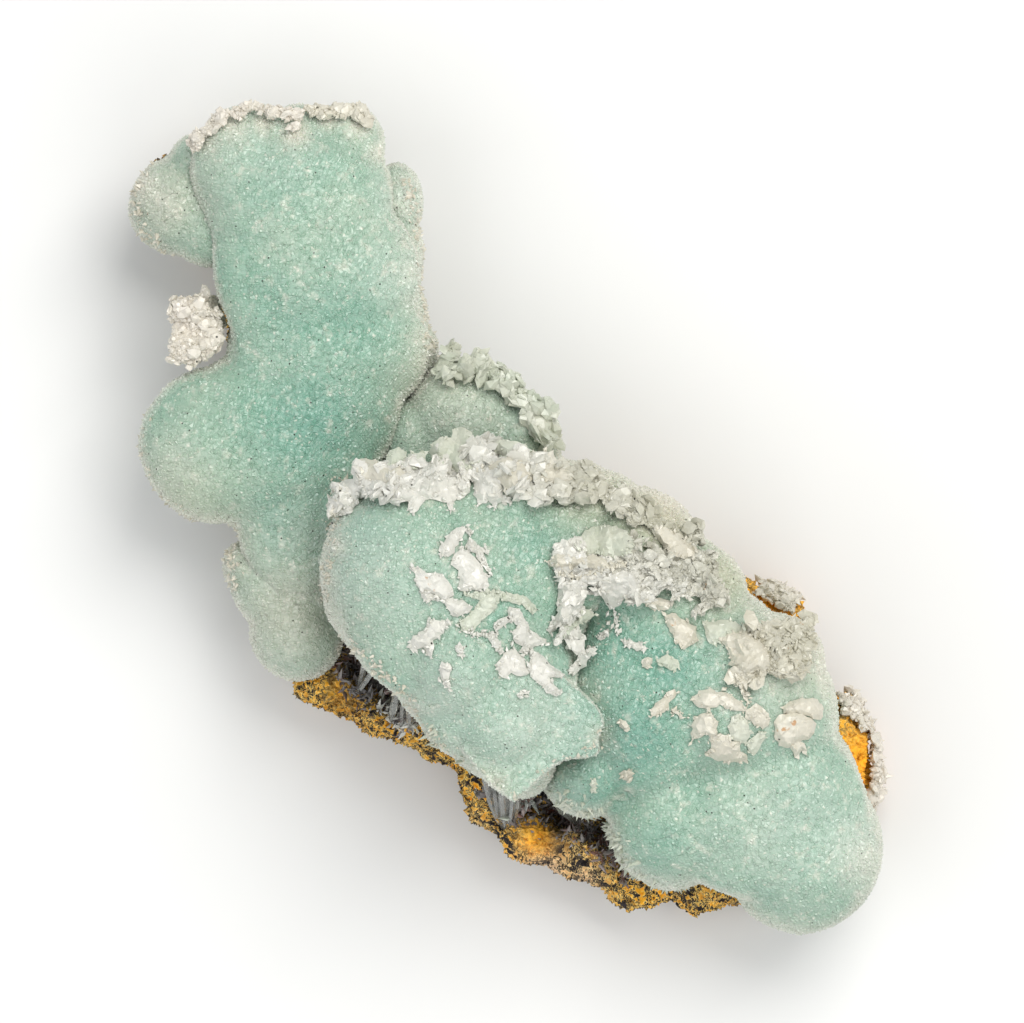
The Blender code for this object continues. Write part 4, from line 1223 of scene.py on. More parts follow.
# %% Outlines of the flakes
# Each row is one outline: the u and v of its corners, in millimetres
WHITE_FLAKES = (
    ((-4.1, -1.1), (-3.4, -1.1), (-2.9, -1.3), (-3, -1.8), (-3.5, -1.4), (-3.6, -2.1), (-4, -2.3),
     (-4.4, -3), (-4.6, -3.3), (-4.9, -3.2), (-5.2, -3.5), (-5.4, -2.8), (-5.2, -2.4), (-4.9, -2.2),
     (-4.9, -1.8), (-4.5, -1.4)),
    ((-3.7, -2.4), (-3.4, -2.7), (-2.7, -3.3), (-2.4, -3.7), (-1.9, -4.5), (-1.7, -5.3), (-1.8, -5.6),
     (-2.4, -5.8), (-2.9, -5.7), (-3.6, -5.9), (-4, -5.5), (-3.9, -4.9), (-4, -4.3), (-4.5, -3.8),
     (-4.4, -3.3), (-4, -2.9)),
    ((-3.1, -1.8), (-2.7, -2.2), (-2.2, -2.6), (-1.7, -2.8), (-1.7, -3.1), (-2.1, -3), (-1.9, -3.7),
     (-1.3, -4.6), (-1.6, -4.7), (-2.2, -3.9), (-2.7, -3), (-3.3, -2.7), (-3.4, -2.3)),
    ((-7.5, -4.1), (-7.1, -4), (-6.2, -4.4), (-5.1, -4.6), (-4.7, -5), (-4.4, -5.4), (-4.2, -6),
     (-4.9, -6.5), (-5.2, -6.4), (-5.7, -6), (-6.5, -5.8), (-6.8, -5.6), (-7.2, -5), (-7.1, -4.6)),
    ((-6.7, -5.7), (-5.7, -6), (-4.9, -6.5), (-4.4, -6.2), (-3.6, -6.5), (-2.9, -7), (-3.1, -7.3),
     (-3.9, -7.6), (-4.4, -7.7), (-4.7, -7.1), (-5.1, -6.5), (-5.8, -6.5), (-6.5, -6.5)),
    ((-1.9, -8.8), (-1.2, -8.8), (-1.4, -8.2), (-0.4, -7.6), (0, -7.6), (-0.1, -8), (-0.7, -8.4),
     (-1.3, -8.9), (-0.9, -9.6), (-0.6, -10.3), (-0.9, -10.5), (-1.3, -9.9), (-1.8, -9.2)),
    ((-3.9, -8.5), (-2.9, -8.8), (-1.9, -8.8), (-1.8, -9.1), (-2.9, -9.1), (-3.6, -8.8)),
    ((-0.3, -7), (0.5, -7), (0.9, -7.7), (1.3, -8.7), (2.5, -9.3), (2.6, -9.6), (1.6, -9.9),
     (1, -10.5), (0.6, -10.4), (0.8, -9.8), (0.2, -9.6), (0, -8.8), (0.4, -8.4), (-0.2, -7.7)),
    ((1.2, -10), (1.9, -10.3), (3.1, -11.4), (3.9, -11.9), (3.6, -12.1), (2.8, -12.1), (3.6, -13.4),
     (3.2, -13.6), (2.4, -13.1), (1.4, -12.1), (1.2, -11.4), (1.4, -10.9)),
    ((-1.3, -11.3), (-0.8, -10.8), (-0.4, -10.2), (0.3, -9.9), (0.5, -10.4), (1, -10.8), (1.3, -11.9),
     (0.7, -12.1), (-0.1, -11.8), (-0.4, -12.3), (-0.9, -11.9)),
    ((-6.2, -7.7), (-5.6, -8), (-4.5, -7.9), (-4.6, -8.3), (-5, -8.9), (-5.7, -9.3), (-5.8, -10),
     (-6, -10.7), (-6.3, -10.5), (-6.4, -9.9), (-6.7, -10), (-7.3, -10.3), (-7.6, -9.9), (-7.4, -9.3),
     (-6.8, -8.9), (-6.3, -8.6)),
    ((-4.1, -9.8), (-3.7, -9.6), (-3.5, -9.9), (-3.6, -10.5), (-3.7, -10.8), (-3.9, -10.5),
     (-4.1, -10.2)),
    ((-5.2, -11), (-4.5, -11.1), (-4.4, -11.5), (-4.6, -12.1), (-4.5, -13), (-4.9, -12.9),
     (-5.2, -12.3), (-5.3, -11.5)),
    ((0.3, -13.4), (0.7, -13.1), (1.3, -13.1), (1.2, -13.4), (0.5, -13.5)),
    ((4.1, -11.9), (4.3, -11.3), (4.8, -10.8), (5, -10.3), (5.9, -9.9), (6.3, -10), (6.1, -10.3),
     (5.5, -10.9), (5.5, -11.3), (5, -11.6), (4.5, -12)),
    ((6.7, -8.8), (7, -8.6), (7.1, -8.9), (6.6, -9.5), (6.3, -9.4), (6.3, -9.2)),
    ((3.4, -5.4), (3.8, -5), (4.4, -5.1), (4.6, -5.9), (4.9, -6.6), (4.7, -7.4), (4.2, -8),
     (3.4, -8.4), (2.8, -9.1), (2.6, -8.6), (3, -7.9), (3.3, -7.4), (3.3, -6.2)),
    ((6.6, -5.2), (7.1, -4.6), (8.2, -4.3), (9, -4.5), (9.4, -5.2), (9.2, -5.9), (8.4, -6.4),
     (7.6, -7), (7.2, -7.2), (7, -6.8), (6.5, -6.2), (6.1, -6.1), (5.2, -6), (5.3, -5.8), (6.5, -5.6)),
    ((7.4, -7.2), (7.7, -7.3), (7.9, -9), (7.8, -9), (7.5, -7.9)),
    ((8, -9.5), (8.8, -9.4), (10, -10), (9.2, -10.2), (8.2, -9.8)),
    ((6.6, -9), (7, -8.4), (7, -8.8), (6.7, -9.1)),
    ((5.5, -9.9), (6, -9.9), (6.2, -10.1), (5.8, -10.3), (5.4, -10.2)),
    ((-9.2, 1.2), (-8.7, 2), (-7.6, 2), (-6.9, 2.6), (-6.1, 2.8), (-4.9, 2.6), (-3.7, 2.6),
     (-3.2, 1.9), (-3.1, 1.4), (-3.7, 1), (-4.1, 1), (-4.5, -0.2), (-4.8, 0.7), (-5.6, 0.9),
     (-6.4, 0.9), (-6.9, 0.2), (-7.3, -0.2), (-7.6, 0.2), (-7.5, 0.8), (-8.3, 0.8), (-8.9, 0.9)),
    ((-2.8, 2.6), (-2.2, 3.1), (-1.3, 2.8), (-0.8, 1.9), (-0.6, 1.3), (-0.1, 0.9), (-0.1, 0.4),
     (-0.5, 0.8), (-1, 0.7), (-1.2, 0.2), (-1.7, 0.8), (-2.4, 0.5), (-2.8, 1.3)),
    ((-13, 1.5), (-12.3, 2.3), (-11.3, 2.6), (-10.7, 1.9), (-11.2, 1.3), (-11.3, 0.7), (-11.9, -0.1),
     (-12.5, -0.3), (-12.9, 0.8)),
)
ROSETTE_FLAKES = (
    ((10.2, -14.8), (10.5, -14), (10.9, -13.8), (11.4, -13.3), (12, -13.1), (12.1, -13.4), (11.5, -14),
     (11.6, -14.5), (10.9, -14.8), (10.2, -15.2)),
    ((11.6, -14.5), (12, -14.5), (12.8, -15.2), (12.6, -15.3), (11.9, -14.8)),
    ((13.1, -13.7), (13.8, -13.2), (14.5, -12.9), (14.9, -13.2), (15.9, -13.3), (16.7, -13.9),
     (17.3, -14.5), (16.8, -14.7), (15.9, -14.5), (15.3, -14.2), (14.7, -14.4), (14.4, -14.5),
     (13.6, -14.4)),
    ((13.3, -15.4), (13.8, -14.8), (14.7, -14.7), (15.1, -15.4), (15.1, -16.4), (14.8, -16.8),
     (14.2, -16.4), (13.5, -16.8), (13.2, -17), (13.2, -16.3)),
    ((14.1, -17.9), (14.7, -17.2), (14.5, -16.8), (15.3, -16.4), (15.9, -16.3), (16.2, -16.8),
     (16.8, -17), (16.8, -17.6), (17.3, -17.9), (17.3, -18.5), (16.4, -18.4), (15.7, -18.5),
     (14.7, -18.1)),
    ((17.2, -14.5), (18, -14.1), (19, -14.8), (19, -15.5), (18.5, -16), (17.9, -15.7), (17.2, -15.1)),
    ((16.4, -11.3), (16.7, -11.7), (17.1, -13.1), (17.5, -14.2), (17.3, -14.1), (16.8, -13.1),
     (16.5, -12.1)),
)
CREAM_FLAKES = (
    ((9.6, -10.8), (10.1, -10.6), (10.4, -11.0), (10.0, -11.6), (9.6, -11.4)),
    ((7.8, -15.3), (8.3, -15.4), (8.7, -15.9), (8.3, -16.1), (7.9, -15.8)),
    ((8.0, -19.2), (8.6, -18.9), (9.0, -19.3), (8.7, -19.9), (8.2, -19.7)),
    ((-11.3, 2.6), (-11.6, 3.6), (-11.2, 4), (-10.5, 3.9), (-10, 3.9), (-9.6, 3.4), (-8.8, 3.1),
     (-8.1, 3.6), (-7.7, 3), (-7.8, 2.4), (-8.8, 2.1), (-9.8, 2.1), (-10.7, 1.9)),
    ((-2.7, 3.1), (-1.4, 3.6), (-0.3, 4.1), (0.8, 3.9), (1.1, 3.1), (1.6, 2.5), (1, 2), (0.2, 1.4),
     (-0.5, 1.7), (-1, 2.3), (-1.7, 3)),
    ((1.6, 4.4), (3, 4.5), (3.2, 3.9), (4.2, 3), (4.9, 2.5), (3.5, 1.8), (2.7, 2.1), (2.1, 2.5),
     (1.9, 3.4)),
    ((2.5, -3.7), (2.9, -3.2), (3.5, -3), (4.3, -3.3), (4.5, -3.7), (4.7, -4.3), (4.1, -4.1),
     (3.2, -4.1), (2.6, -3.8)),
    ((3.2, -4.5), (4.7, -4.6), (6.6, -4.2), (6.6, -4.4), (4.8, -4.9), (3.8, -4.7)),
    ((2.8, -3.9), (2.8, -3.3), (3.8, -3.1), (4.8, -3.3), (6.1, -3.1), (7, -3.6), (8.4, -3.6),
     (8.4, -4), (7.2, -4.2), (6.1, -4.2), (4.8, -4), (3.4, -4)),
    ((9.8, -6.4), (10.9, -6.3), (11.7, -6.7), (11.5, -7.2), (10.4, -7.2), (9.8, -6.9)),
    ((10.4, -1.1), (11.3, -1.1), (12.3, -1.6), (13.3, -2.5), (13.7, -3.2), (12.7, -3.4), (11.7, -3.2),
     (11, -2.4), (10.5, -1.8)),
    ((11.2, -7.5), (11.8, -7.4), (12.7, -7.9), (13.6, -8.5), (13.7, -9.4), (13.2, -9.8), (12.5, -10.1),
     (12, -9.4), (11.5, -8.6)),
    ((15.3, -9.3), (15.9, -8.9), (17.3, -8.8), (18.7, -10), (19, -10.9), (18.7, -11.6), (17.3, -11.7),
     (16.2, -11.3), (15.9, -10.2)),
)
GREY_FLAKES = (
    ((10.6, -11.0), (11.4, -10.4), (12.2, -10.9), (12.4, -11.5), (11.6, -11.6), (10.8, -11.3)),
    ((5.7, -19.9), (6.1, -19.7), (6.3, -20.4), (6.1, -20.8), (5.9, -20.4)),
    ((-9.3, 3.9), (-9.1, 4.5), (-8.3, 4.8), (-7.8, 4.3), (-7.7, 3.4), (-8.3, 3.3), (-8.9, 3.3)),
    ((-7.7, 4.2), (-6.9, 4.4), (-6.2, 4.4), (-6.4, 3.6), (-6.9, 3), (-7.6, 3)),
    ((-6.1, 4.5), (-5.7, 5.3), (-5.1, 5.6), (-4.5, 5.5), (-4.4, 6.1), (-3.5, 6.3), (-3, 5.8),
     (-2.9, 5.3), (-1.9, 5), (-1.8, 4.4), (-2.4, 3.6), (-3.2, 3.1), (-4.1, 2.9), (-5.1, 3.4),
     (-5.9, 3.9)),
    ((-1.8, 5.2), (-1.4, 5.6), (-0.6, 5.3), (1, 5), (1.3, 4.1), (0.3, 4.1), (-0.8, 4.2), (-1.6, 4.4)),
    ((-3.6, -6), (-2.4, -5.9), (-1.3, -5.7), (-0.9, -6.2), (-1.2, -7), (-1.8, -7.6), (-2.4, -8.1),
     (-2.9, -8.8), (-3.6, -8.7), (-3.9, -8), (-3.1, -7.5), (-2.4, -6.5)),
    ((-1.2, -5.8), (-0.1, -6), (0.9, -6.1), (2, -7.2), (1.5, -7.5), (0.7, -6.8), (-0.7, -6.5)),
    ((5, -7), (5.7, -7.1), (6.1, -7.6), (5.3, -8.2), (4.7, -8.4), (4.1, -8.9), (3.5, -9.1),
     (4.3, -8.2), (4.8, -7.6)),
    ((4.6, -2.4), (5.2, -1.5), (6.1, -1), (7.6, -1), (8.4, -1.4), (9, -2.2), (8.8, -3), (7.8, -3.3),
     (6.1, -3.1), (4.8, -3.1)),
    ((15.9, -15.7), (16.1, -15.1), (16.8, -14.8), (17.3, -15.3), (17.5, -16.3), (17.3, -17),
     (16.6, -17), (16, -16.5)),
    ((14.1, -8.2), (15.2, -8), (16.1, -7.9), (16.8, -8.3), (17.3, -8.8), (15.9, -9.1), (15.3, -9.5),
     (14.7, -9.8), (14.2, -9.2)),
    ((17.3, -17), (17.8, -16.4), (18.5, -16.1), (18.7, -16.6), (18.3, -17.4), (17.8, -18), (17.4, -17.6)),
)
DISCS = (
    ((19.8, -14.4), (20.5, -13.9), (21.6, -13.7), (22.5, -13.8), (23, -14.5), (23, -15.1),
     (22.5, -15.4), (22, -15.1), (20.9, -14.8), (20, -14.8)),
    ((19.3, -15.4), (19.9, -14.8), (20.9, -14.8), (22, -15.1), (22.4, -15.7), (22.3, -16.3),
     (21.8, -16.8), (21.2, -17), (20.4, -17.4), (19.7, -17.2), (19.3, -16.5)),
    ((20.4, -17.3), (21.2, -16.8), (21.6, -17.1), (21.9, -18.1), (21.3, -17.6), (21.1, -18.3),
     (20.7, -17.8)),
)


print("flakes:", *map(len, (WHITE_FLAKES, ROSETTE_FLAKES, CREAM_FLAKES, GREY_FLAKES, DISCS)))

# %% [markdown]
# ## The ground that small pieces stand on
# A flake or a small crystal has to sit on the stone, seen from any side. All skins become one tree, and a
# ray straight down finds the ground at u and v. Where no ray can hit, the nearest flank is taken.

# %% The ground that small pieces stand on
ABOVE_ALL = 60.0
FLANK = 9.0


def stone_tree():
    """All skins as one tree for rays: where the surface is that a flake lies on."""
    starts = np.cumsum([0] + [len(points) for points, _ in SKINS])
    points = np.concatenate([points for points, _ in SKINS])
    faces = np.concatenate([faces + start for (_, faces), start in zip(SKINS, starts)])
    return BVHTree.FromPolygons(points.tolist(), faces.tolist())


STONE_TREE = stone_tree()


def surface_below(u, v, tree=STONE_TREE):
    """The tree's upper surface at u, v, or its nearest flank where it doesn't reach there."""
    point, normal, _, _ = tree.ray_cast(Vector((u, v, ABOVE_ALL)), Vector((0, 0, -1)))
    if point is None:
        point, normal, _, _ = tree.find_nearest(Vector((u, v, FLANK)))
    return np.array(point), np.array(normal)


def rock_below(u, v):
    return surface_below(u, v, ROCK_TREE)


print("height of the dome and of the rock under its lip, in mm:",
      round(surface_below(-4.0, -6.0)[0][2], 1), round(rock_below(2.0, -24.0)[0][2], 1))

# %% [markdown]
# ## An outline filled with triangles
# The outline is cut into short edges and made ragged. A loose grid of points fills it, and a triangulation
# joins them. A regular grid would show its rows on a thing as flat as this, and one large face couldn't
# follow the stone.

# %% An outline filled with triangles
OUTLINE_STEP, FILL_STEP, RAGGED = 0.26, 0.26, 0.09
FILL_STRAY, FILL_GAP = 0.4, 0.15


def ragged_outline(outline, draw):
    """The outline cut into short edges, with every corner pushed a little."""
    corners = np.array(outline, float)
    cut = []
    for a, b in zip(corners, np.roll(corners, -1, axis=0)):
        steps = max(1, round(float(np.linalg.norm(b - a)) / OUTLINE_STEP))
        cut += [a + (b - a) * step / steps for step in range(steps)]
    cut = np.array(cut)
    return cut + draw.uniform(-RAGGED, RAGGED, cut.shape)


def edge_distance(points, outline):
    """How far each point is from the outline."""
    a, b = outline[None], np.roll(outline, -1, axis=0)[None]
    along = b - a
    share = ((points[:, None] - a) * along).sum(axis=2) / np.maximum((along ** 2).sum(axis=2), 1e-9)
    nearest = a + along * np.clip(share, 0.0, 1.0)[..., None]
    return np.linalg.norm(points[:, None] - nearest, axis=2).min(axis=1)


def is_inside(points, outline):
    a, b = outline[None], np.roll(outline, -1, axis=0)[None]
    u, v = points[:, :1], points[:, 1:]
    spans = (a[..., 1] > v) != (b[..., 1] > v)
    rise = b[..., 1] - a[..., 1]
    rise = np.where(np.abs(rise) < 1e-9, 1e-9, rise)
    crossing = a[..., 0] + (v - a[..., 1]) / rise * (b[..., 0] - a[..., 0])
    return (spans & (u < crossing)).sum(axis=1) % 2 == 1


def filled(outline, draw):
    """Points and triangles, seen from above, that fill an outline unevenly."""
    low, high = outline.min(axis=0), outline.max(axis=0)
    rows = (np.arange(low[i], high[i], FILL_STEP) for i in (0, 1))
    grid = np.stack(np.meshgrid(*rows), axis=-1).reshape(-1, 2)
    grid = grid + draw.uniform(-FILL_STRAY, FILL_STRAY, grid.shape) * FILL_STEP
    grid = grid[is_inside(grid, outline) & (edge_distance(grid, outline) > FILL_GAP)]
    flat = [Vector(p) for p in np.concatenate([outline, grid])]
    border = [list(range(len(outline)))]
    corners, _, triangles, _, _, _ = geometry.delaunay_2d_cdt(flat, [], border, 1, 1e-5)
    return np.array([tuple(p) for p in corners]), np.array([t for t in triangles if len(t) == 3])


print("a filled outline's points are about this far apart, in mm:", FILL_STEP)

# %% [markdown]
# ## White flakes
# Each filled outline is laid on the ground below it. Its top is crumpled, its edge is thin, its underside
# is sunk in the stone, and walls close it, so every flake is a closed body. Where the ground falls away it
# bends only so far, as a real crust breaks off at an edge. A fringe of small crystals hides the cut rim.

# %% White flakes
EDGE_RISE, SUNK_BELOW, STEEPEST, LIFT = 0.18, 0.4, 1.2, 0.18
CREASE_LONG, CREASE_SHORT, CREASE_STRAY, CREASE_EDGE = 2.4, 0.7, 0.5, 0.2
# Least and most width, thickness and length of the crystals in a fringe, in millimetres
FRINGE_SIZES = ((0.15, 0.4), (0.12, 0.3), (0.25, 0.65))


def no_cliffs(flat, ground):
    """Heights that fall off no more steeply than a flake can bend."""
    apart = np.linalg.norm(flat[:, None] - flat[None], axis=2)
    return (ground[None] - STEEPEST * apart).max(axis=1)


def make_flake(outline, draw, thickness, rough, fringed):
    """One flake: its top is crumpled, its underside is sunk in the stone, and walls close it."""
    rim = ragged_outline(outline, draw)
    flat, triangles = filled(rim, draw)
    depth = edge_distance(flat, rim)
    turn = draw.uniform(0, math.pi)
    along = flat @ np.array((math.cos(turn), math.sin(turn))) / CREASE_LONG
    across = flat @ np.array((-math.sin(turn), math.cos(turn))) / CREASE_SHORT
    creases = np.stack([along, across, np.zeros(len(flat))], axis=1)
    crumple = lumps(creases, 1.0, draw.uniform(0, 99))
    crumple = crumple + draw.uniform(-CREASE_STRAY, CREASE_STRAY, len(flat))
    rise = thickness * (1.0 - np.exp(-depth / EDGE_RISE))
    rise = rise + rough * crumple * np.clip(depth / CREASE_EDGE, 0.25, 1.0)
    ground = no_cliffs(flat, np.array([surface_below(u, v)[0][2] for u, v in flat]))
    top = np.column_stack([flat, ground + LIFT + np.maximum(rise, 0.0)])
    under = np.column_stack([flat, ground - SUNK_BELOW])
    size = len(flat)
    # In the order in which they are met, so that the result is the same in every run
    edges = {
        edge: True for triangle in triangles.tolist() for edge in zip(triangle, triangle[1:] + triangle[:1])
    }
    walls = []
    for a, b in edges:
        if (b, a) not in edges:
            walls += [(b, a, a + size), (b, a + size, b + size)]
    faces = np.concatenate([triangles, triangles[:, ::-1] + size, np.array(walls)])
    body = np.concatenate([top, under]), faces, milkiness(draw.uniform(0.4, 1.0, 1), size * 2)
    return joined([body, make_fringe(rim, ground[:len(rim)], draw)]) if fringed else body


def make_fringe(rim, ground, draw):
    """Small crystals that point outward all along a flake's edge, and some that lie on it."""
    edge = np.roll(rim, -1, axis=0) - np.roll(rim, 1, axis=0)
    count = len(rim)
    outward = np.column_stack([edge[:, 1], -edge[:, 0], np.zeros(count)])
    outward *= np.sign(np.sum(rim * outward[:, :2] - rim.mean(axis=0) * outward[:, :2]))
    axes = unit(unit(outward) * 0.6 + draw.normal(0, 0.7, outward.shape) * (1, 1, 0.5))
    size = crystal_sizes(draw, count, *FRINGE_SIZES)
    inward = unit(outward)[:, :2] * draw.uniform(-0.05, 0.45, (count, 1))
    places = np.column_stack([rim - inward, ground + 0.25]) + draw.normal(0, 0.08, (count, 3))
    grown, faces = grow(FRINGE_FORM, places, axes, any_way(draw, axes.shape), size, draw, 0.18)
    return grown, faces, milkiness(draw.uniform(0.3, 1.0, count), len(FRINGE_FORM[0]))


def make_flakes(name, outlines, seed, thickness, rough, finish, replaces, fringed=True):
    draw = np.random.default_rng(seed)
    points, faces, values = joined([
        make_flake(outline, draw, thickness, rough, fringed) for outline in outlines
    ])
    make_piece(name, points, faces, finish, values, replaces)


print("a flake's edge is sunk this far in the stone, in mm:", SUNK_BELOW)

# %% [markdown]
# ## Crystals along the rims, and the flakes
# On the real stone the crust's rims carry small pale crystals, which break up its outline. They are strewn
# along a few lines over the rims, and each stands on the ground below it. Then the flakes are laid, the
# greyest first. The rosette, the blades and the disc take the place of their plain solids.

# %% Crystals along the rims, and the flakes
LONE = [f"lone_blade_{number}" for number in range(1, 6)]
RIM_SIZES = ((0.15, 0.45), (0.12, 0.35), (0.3, 0.9))
RIM_STRAY, RIM_LEAN = 0.28, 0.5
# Points u, v that a row of small crystals passes through, and how many crystals it has
RIM_ROWS = (
    (((-7.9, 24.4), (-7.1, 22.0), (-6.7, 19.4), (-6.6, 16.4), (-6.3, 13.4), (-5.7, 11.8)), 210),
    (((-12.6, 2.6), (-13.2, -0.6), (-13.4, -3.6), (-13.9, -6.6)), 150),
    (((-20.6, -1.0), (-21.0, -3.4), (-20.7, -5.8)), 90),
    (((-27.0, 26.0), (-28.0, 23.6), (-27.6, 21.2), (-25.6, 19.2)), 110),
    ((
        (-12.4, -9.4), (-10.8, -10.8), (-9.0, -12.2), (-7.8, -13.8), (-6.4, -16.0), (-2.8, -19.4),
    ), 170),
    (((-0.9, -21.2), (0.6, -21.0), (2.6, -19.0), (5.4, -17.8), (6.6, -16.2)), 50),
    (((-27.4, 8.2), (-27.7, 5.0), (-26.6, 1.6), (-23.6, -0.8)), 90),
)


def rim_crystals(name, finish, rows, seed, sizes, stray, lean, ground=surface_below):
    """Small crystals along lines on the ground, which gives a point and a normal for u and v."""
    draw = np.random.default_rng(seed)
    places, facing = [], []
    for line, count in rows:
        line = np.array(line)
        share = draw.random(count) * (len(line) - 1)
        first = share.astype(int)
        spot = line[first] + (line[first + 1] - line[first]) * (share - first)[:, None]
        for u, v in spot + draw.normal(0, stray, spot.shape):
            point, normal = ground(u, v)
            places.append(point)
            facing.append(normal)
    places, axes = np.array(places), leaning(np.array(facing), lean, draw)
    size = crystal_sizes(draw, len(places), *sizes)
    grown, faces = grow(RIM_FORM, places, axes, any_way(draw, axes.shape), size, draw, 0.2)
    values = milkiness(draw.uniform(0.1, 1.0, len(places)), len(RIM_FORM[0]))
    make_piece(name, grown, faces, finish, values, ())


rim_crystals(
    "rim_crystals", CREAM_FINISH, RIM_ROWS, 33, RIM_SIZES, RIM_STRAY, RIM_LEAN,
)
# Name, outlines, seed, thickness, roughness, finish and replaced nodes
for row in (
    ("grey_flakes", GREY_FLAKES, 23, 0.22, 0.16, PALE_FINISH, ()),
    ("cream_flakes", CREAM_FLAKES, 25, 0.40, 0.20, CREAM_FINISH, ()),
    ("rosette_flakes", ROSETTE_FLAKES, 26, 0.28, 0.16, CREAM_FINISH, ["white_crystal_rosette"]),
    ("white_flakes", WHITE_FLAKES, 27, 0.34, 0.18, WHITE_FINISH, ["white_crystal_blades", *LONE]),
    ("disc_plates", DISCS, 29, 0.50, 0.20, CREAM_FINISH, ["white_crystal_disc"], False),
):
    make_flakes(*row)

# %% [markdown]
# ## The hollows
# Below the dome are two hollows lined with dark, iron-coated crystals, and clear needles and pale blades
# stand in them. They are scattered over the skin of the hollow's solid: many small dark ones first, then
# fewer long clear ones that lean every way.

# %% The hollows
DARK_LEAN, NEEDLE_LEAN, HOLLOW_UPPER_SIDE = 0.7, 0.6, 0.3
NEEDLE_SIZES = ((0.18, 0.45), (0.15, 0.35), (0.9, 2.1))
BLADE_SIZES = ((0.4, 0.9), (0.2, 0.4), (1.0, 2.0))
HOLLOWS = (("left_hollow_crystals", 83), ("right_hollow_crystals", 89))
KINDS = (("needles", 60, NEEDLE_SIZES, CLEAR_FINISH), ("blades", 14, BLADE_SIZES, PALE_FINISH))


def make_hollow(node, seed):
    skin, base = cluster_skin(node, seed)
    anywhere = np.ones(len(skin[0]))
    dark = standing_crystals(skin, seed + 1, 260, FINE_SIZES, DARK_LEAN, anywhere)
    points, faces, values = joined([base, dark])
    make_piece(f"{node}_dark", points, faces, DARK_FINISH, values, [node])
    keep = np.clip(skin[2][:, 2] + HOLLOW_UPPER_SIDE, 0, 1)
    for kind, count, sizes, finish in KINDS:
        points, faces, values = standing_crystals(
            skin, seed + count, count, sizes, NEEDLE_LEAN, keep,
        )
        make_piece(f"{node}_{kind}", points, faces, finish, values, ())


for node, seed in HOLLOWS:
    make_hollow(node, seed)

# %% [markdown]
# ## The edge over the hollows
# Where the crust ends over the rock, dark and white spikes stand on the rock, grey ones grow on the
# crust's edge, and a fan of clear blades bridges the gap. Each blade is given by where it starts at the
# crust and where it ends on the rock, so that both of its ends are held, seen from any side.

# %% The edge over the hollows
SPIKE_SIZES = ((0.18, 0.45), (0.15, 0.4), (0.6, 1.7))
SPIKE_STRAY, SPIKE_LEAN = 0.45, 0.7
DARK_ROWS = (
    (((0.6, -21.6), (2.4, -21.8), (4.4, -22.8), (6.4, -24.0), (7.8, -25.4), (8.8, -27.0)), 420),
    (((1.2, -22.8), (3.6, -23.2), (6.0, -24.6), (7.4, -26.0)), 160),
    (((-12.8, -9.8), (-11.6, -11.4), (-10.2, -12.8), (-9.0, -14.4), (-7.6, -16.0)), 300),
    (((-13.4, -11.2), (-12.0, -12.6), (-10.4, -14.0)), 130),
)
GREY_ROWS = (
    ((
        (3.2, -20.9), (5.4, -22.0), (7.0, -23.4), (7.9, -25.0), (9.2, -27.0), (11.6, -28.7),
        (14.0, -29.3),
    ), 170),
    (((-6.2, -16.2), (-4.2, -18.4), (-1.8, -20.4)), 50),
)
WHITE_ROWS = ((((-9.7, -13.8), (-8.6, -14.9), (-7.6, -16.0)), 170),)
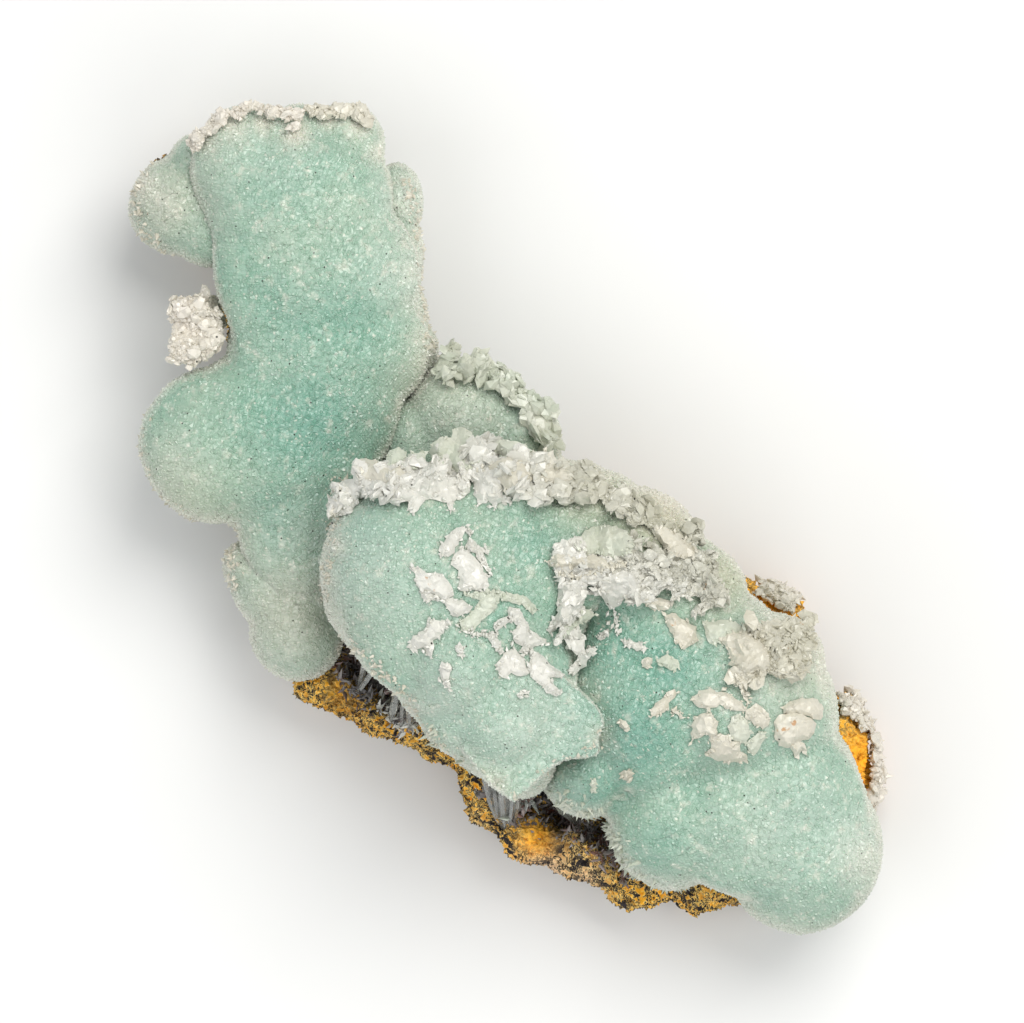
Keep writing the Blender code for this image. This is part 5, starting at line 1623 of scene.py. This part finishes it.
# Start and end of each blade in u and v, and its width in millimetres
BLADES = (
    ((-2.3, -19.6), (-0.9, -23.2), 0.8), ((-1.8, -20.0), (-0.7, -23.4), 0.9),
    ((-1.2, -20.6), (-0.5, -23.6), 0.8), ((-0.6, -21.0), (-0.4, -23.5), 0.9),
    ((0.0, -21.2), (-0.2, -23.3), 0.8), ((0.5, -21.3), (0.2, -23.0), 0.6),
    ((2.5, -20.8), (5.0, -23.2), 1.1), ((-11.2, -11.0), (-11.4, -13.0), 0.6),
    ((-10.2, -12.0), (-11.6, -13.6), 0.5), ((-9.4, -13.2), (-9.0, -15.8), 0.6),
    ((-8.8, -13.8), (-8.2, -16.0), 0.7), ((-8.2, -14.6), (-7.6, -16.4), 0.5),
)
BLADE_THICKNESS, BLADE_OVERLAP, BLADE_TWIST = 0.35, 1.25, 0.4
CRUST_EDGE_HEIGHT = 12.0


def held_blades(rows, seed):
    """Flat crystals, each from a point on the crust's edge to a point on the rock."""
    draw = np.random.default_rng(seed)
    starts, ends = [], []
    for (start_u, start_v), (end_u, end_v), _ in rows:
        start, _, _, _ = STONE_TREE.find_nearest(Vector((start_u, start_v, CRUST_EDGE_HEIGHT)))
        starts.append(start)
        ends.append(rock_below(end_u, end_v)[0])
    starts, ends = np.array(starts), np.array(ends)
    length = np.linalg.norm(ends - starts, axis=1) * BLADE_OVERLAP
    width = [row[2] for row in rows]
    size = np.column_stack([width, np.full(len(rows), BLADE_THICKNESS), length])
    axes = unit(ends - starts)
    facing = unit(draw.normal(0, BLADE_TWIST, axes.shape) + (0, 0, 1))
    grown, faces = grow(BLADE_FORM, (starts + ends) / 2, axes, facing, size, draw, 0.16)
    return grown, faces, milkiness(draw.uniform(0.3, 1.0, len(rows)), len(BLADE_FORM[0]))


for name, finish, rows, seed, ground in (
    ("dark_spikes", DARK_FINISH, DARK_ROWS, 97, rock_below),
    ("grey_spikes", PALE_FINISH, GREY_ROWS, 101, surface_below),
    ("white_spikes", WHITE_FINISH, WHITE_ROWS, 107, rock_below),
):
    rim_crystals(
        name, finish, rows, seed, SPIKE_SIZES, SPIKE_STRAY, SPIKE_LEAN, ground,
    )
points, faces, values = held_blades(BLADES, 103)
make_piece("held_blades", points, faces, CLEAR_FINISH, values, ())

# %% [markdown]
# ## The last words of the script
# The number of triangles in all the pieces is printed.

# %% Sizes and finish
print("triangles in all:", sum(MADE.values()))
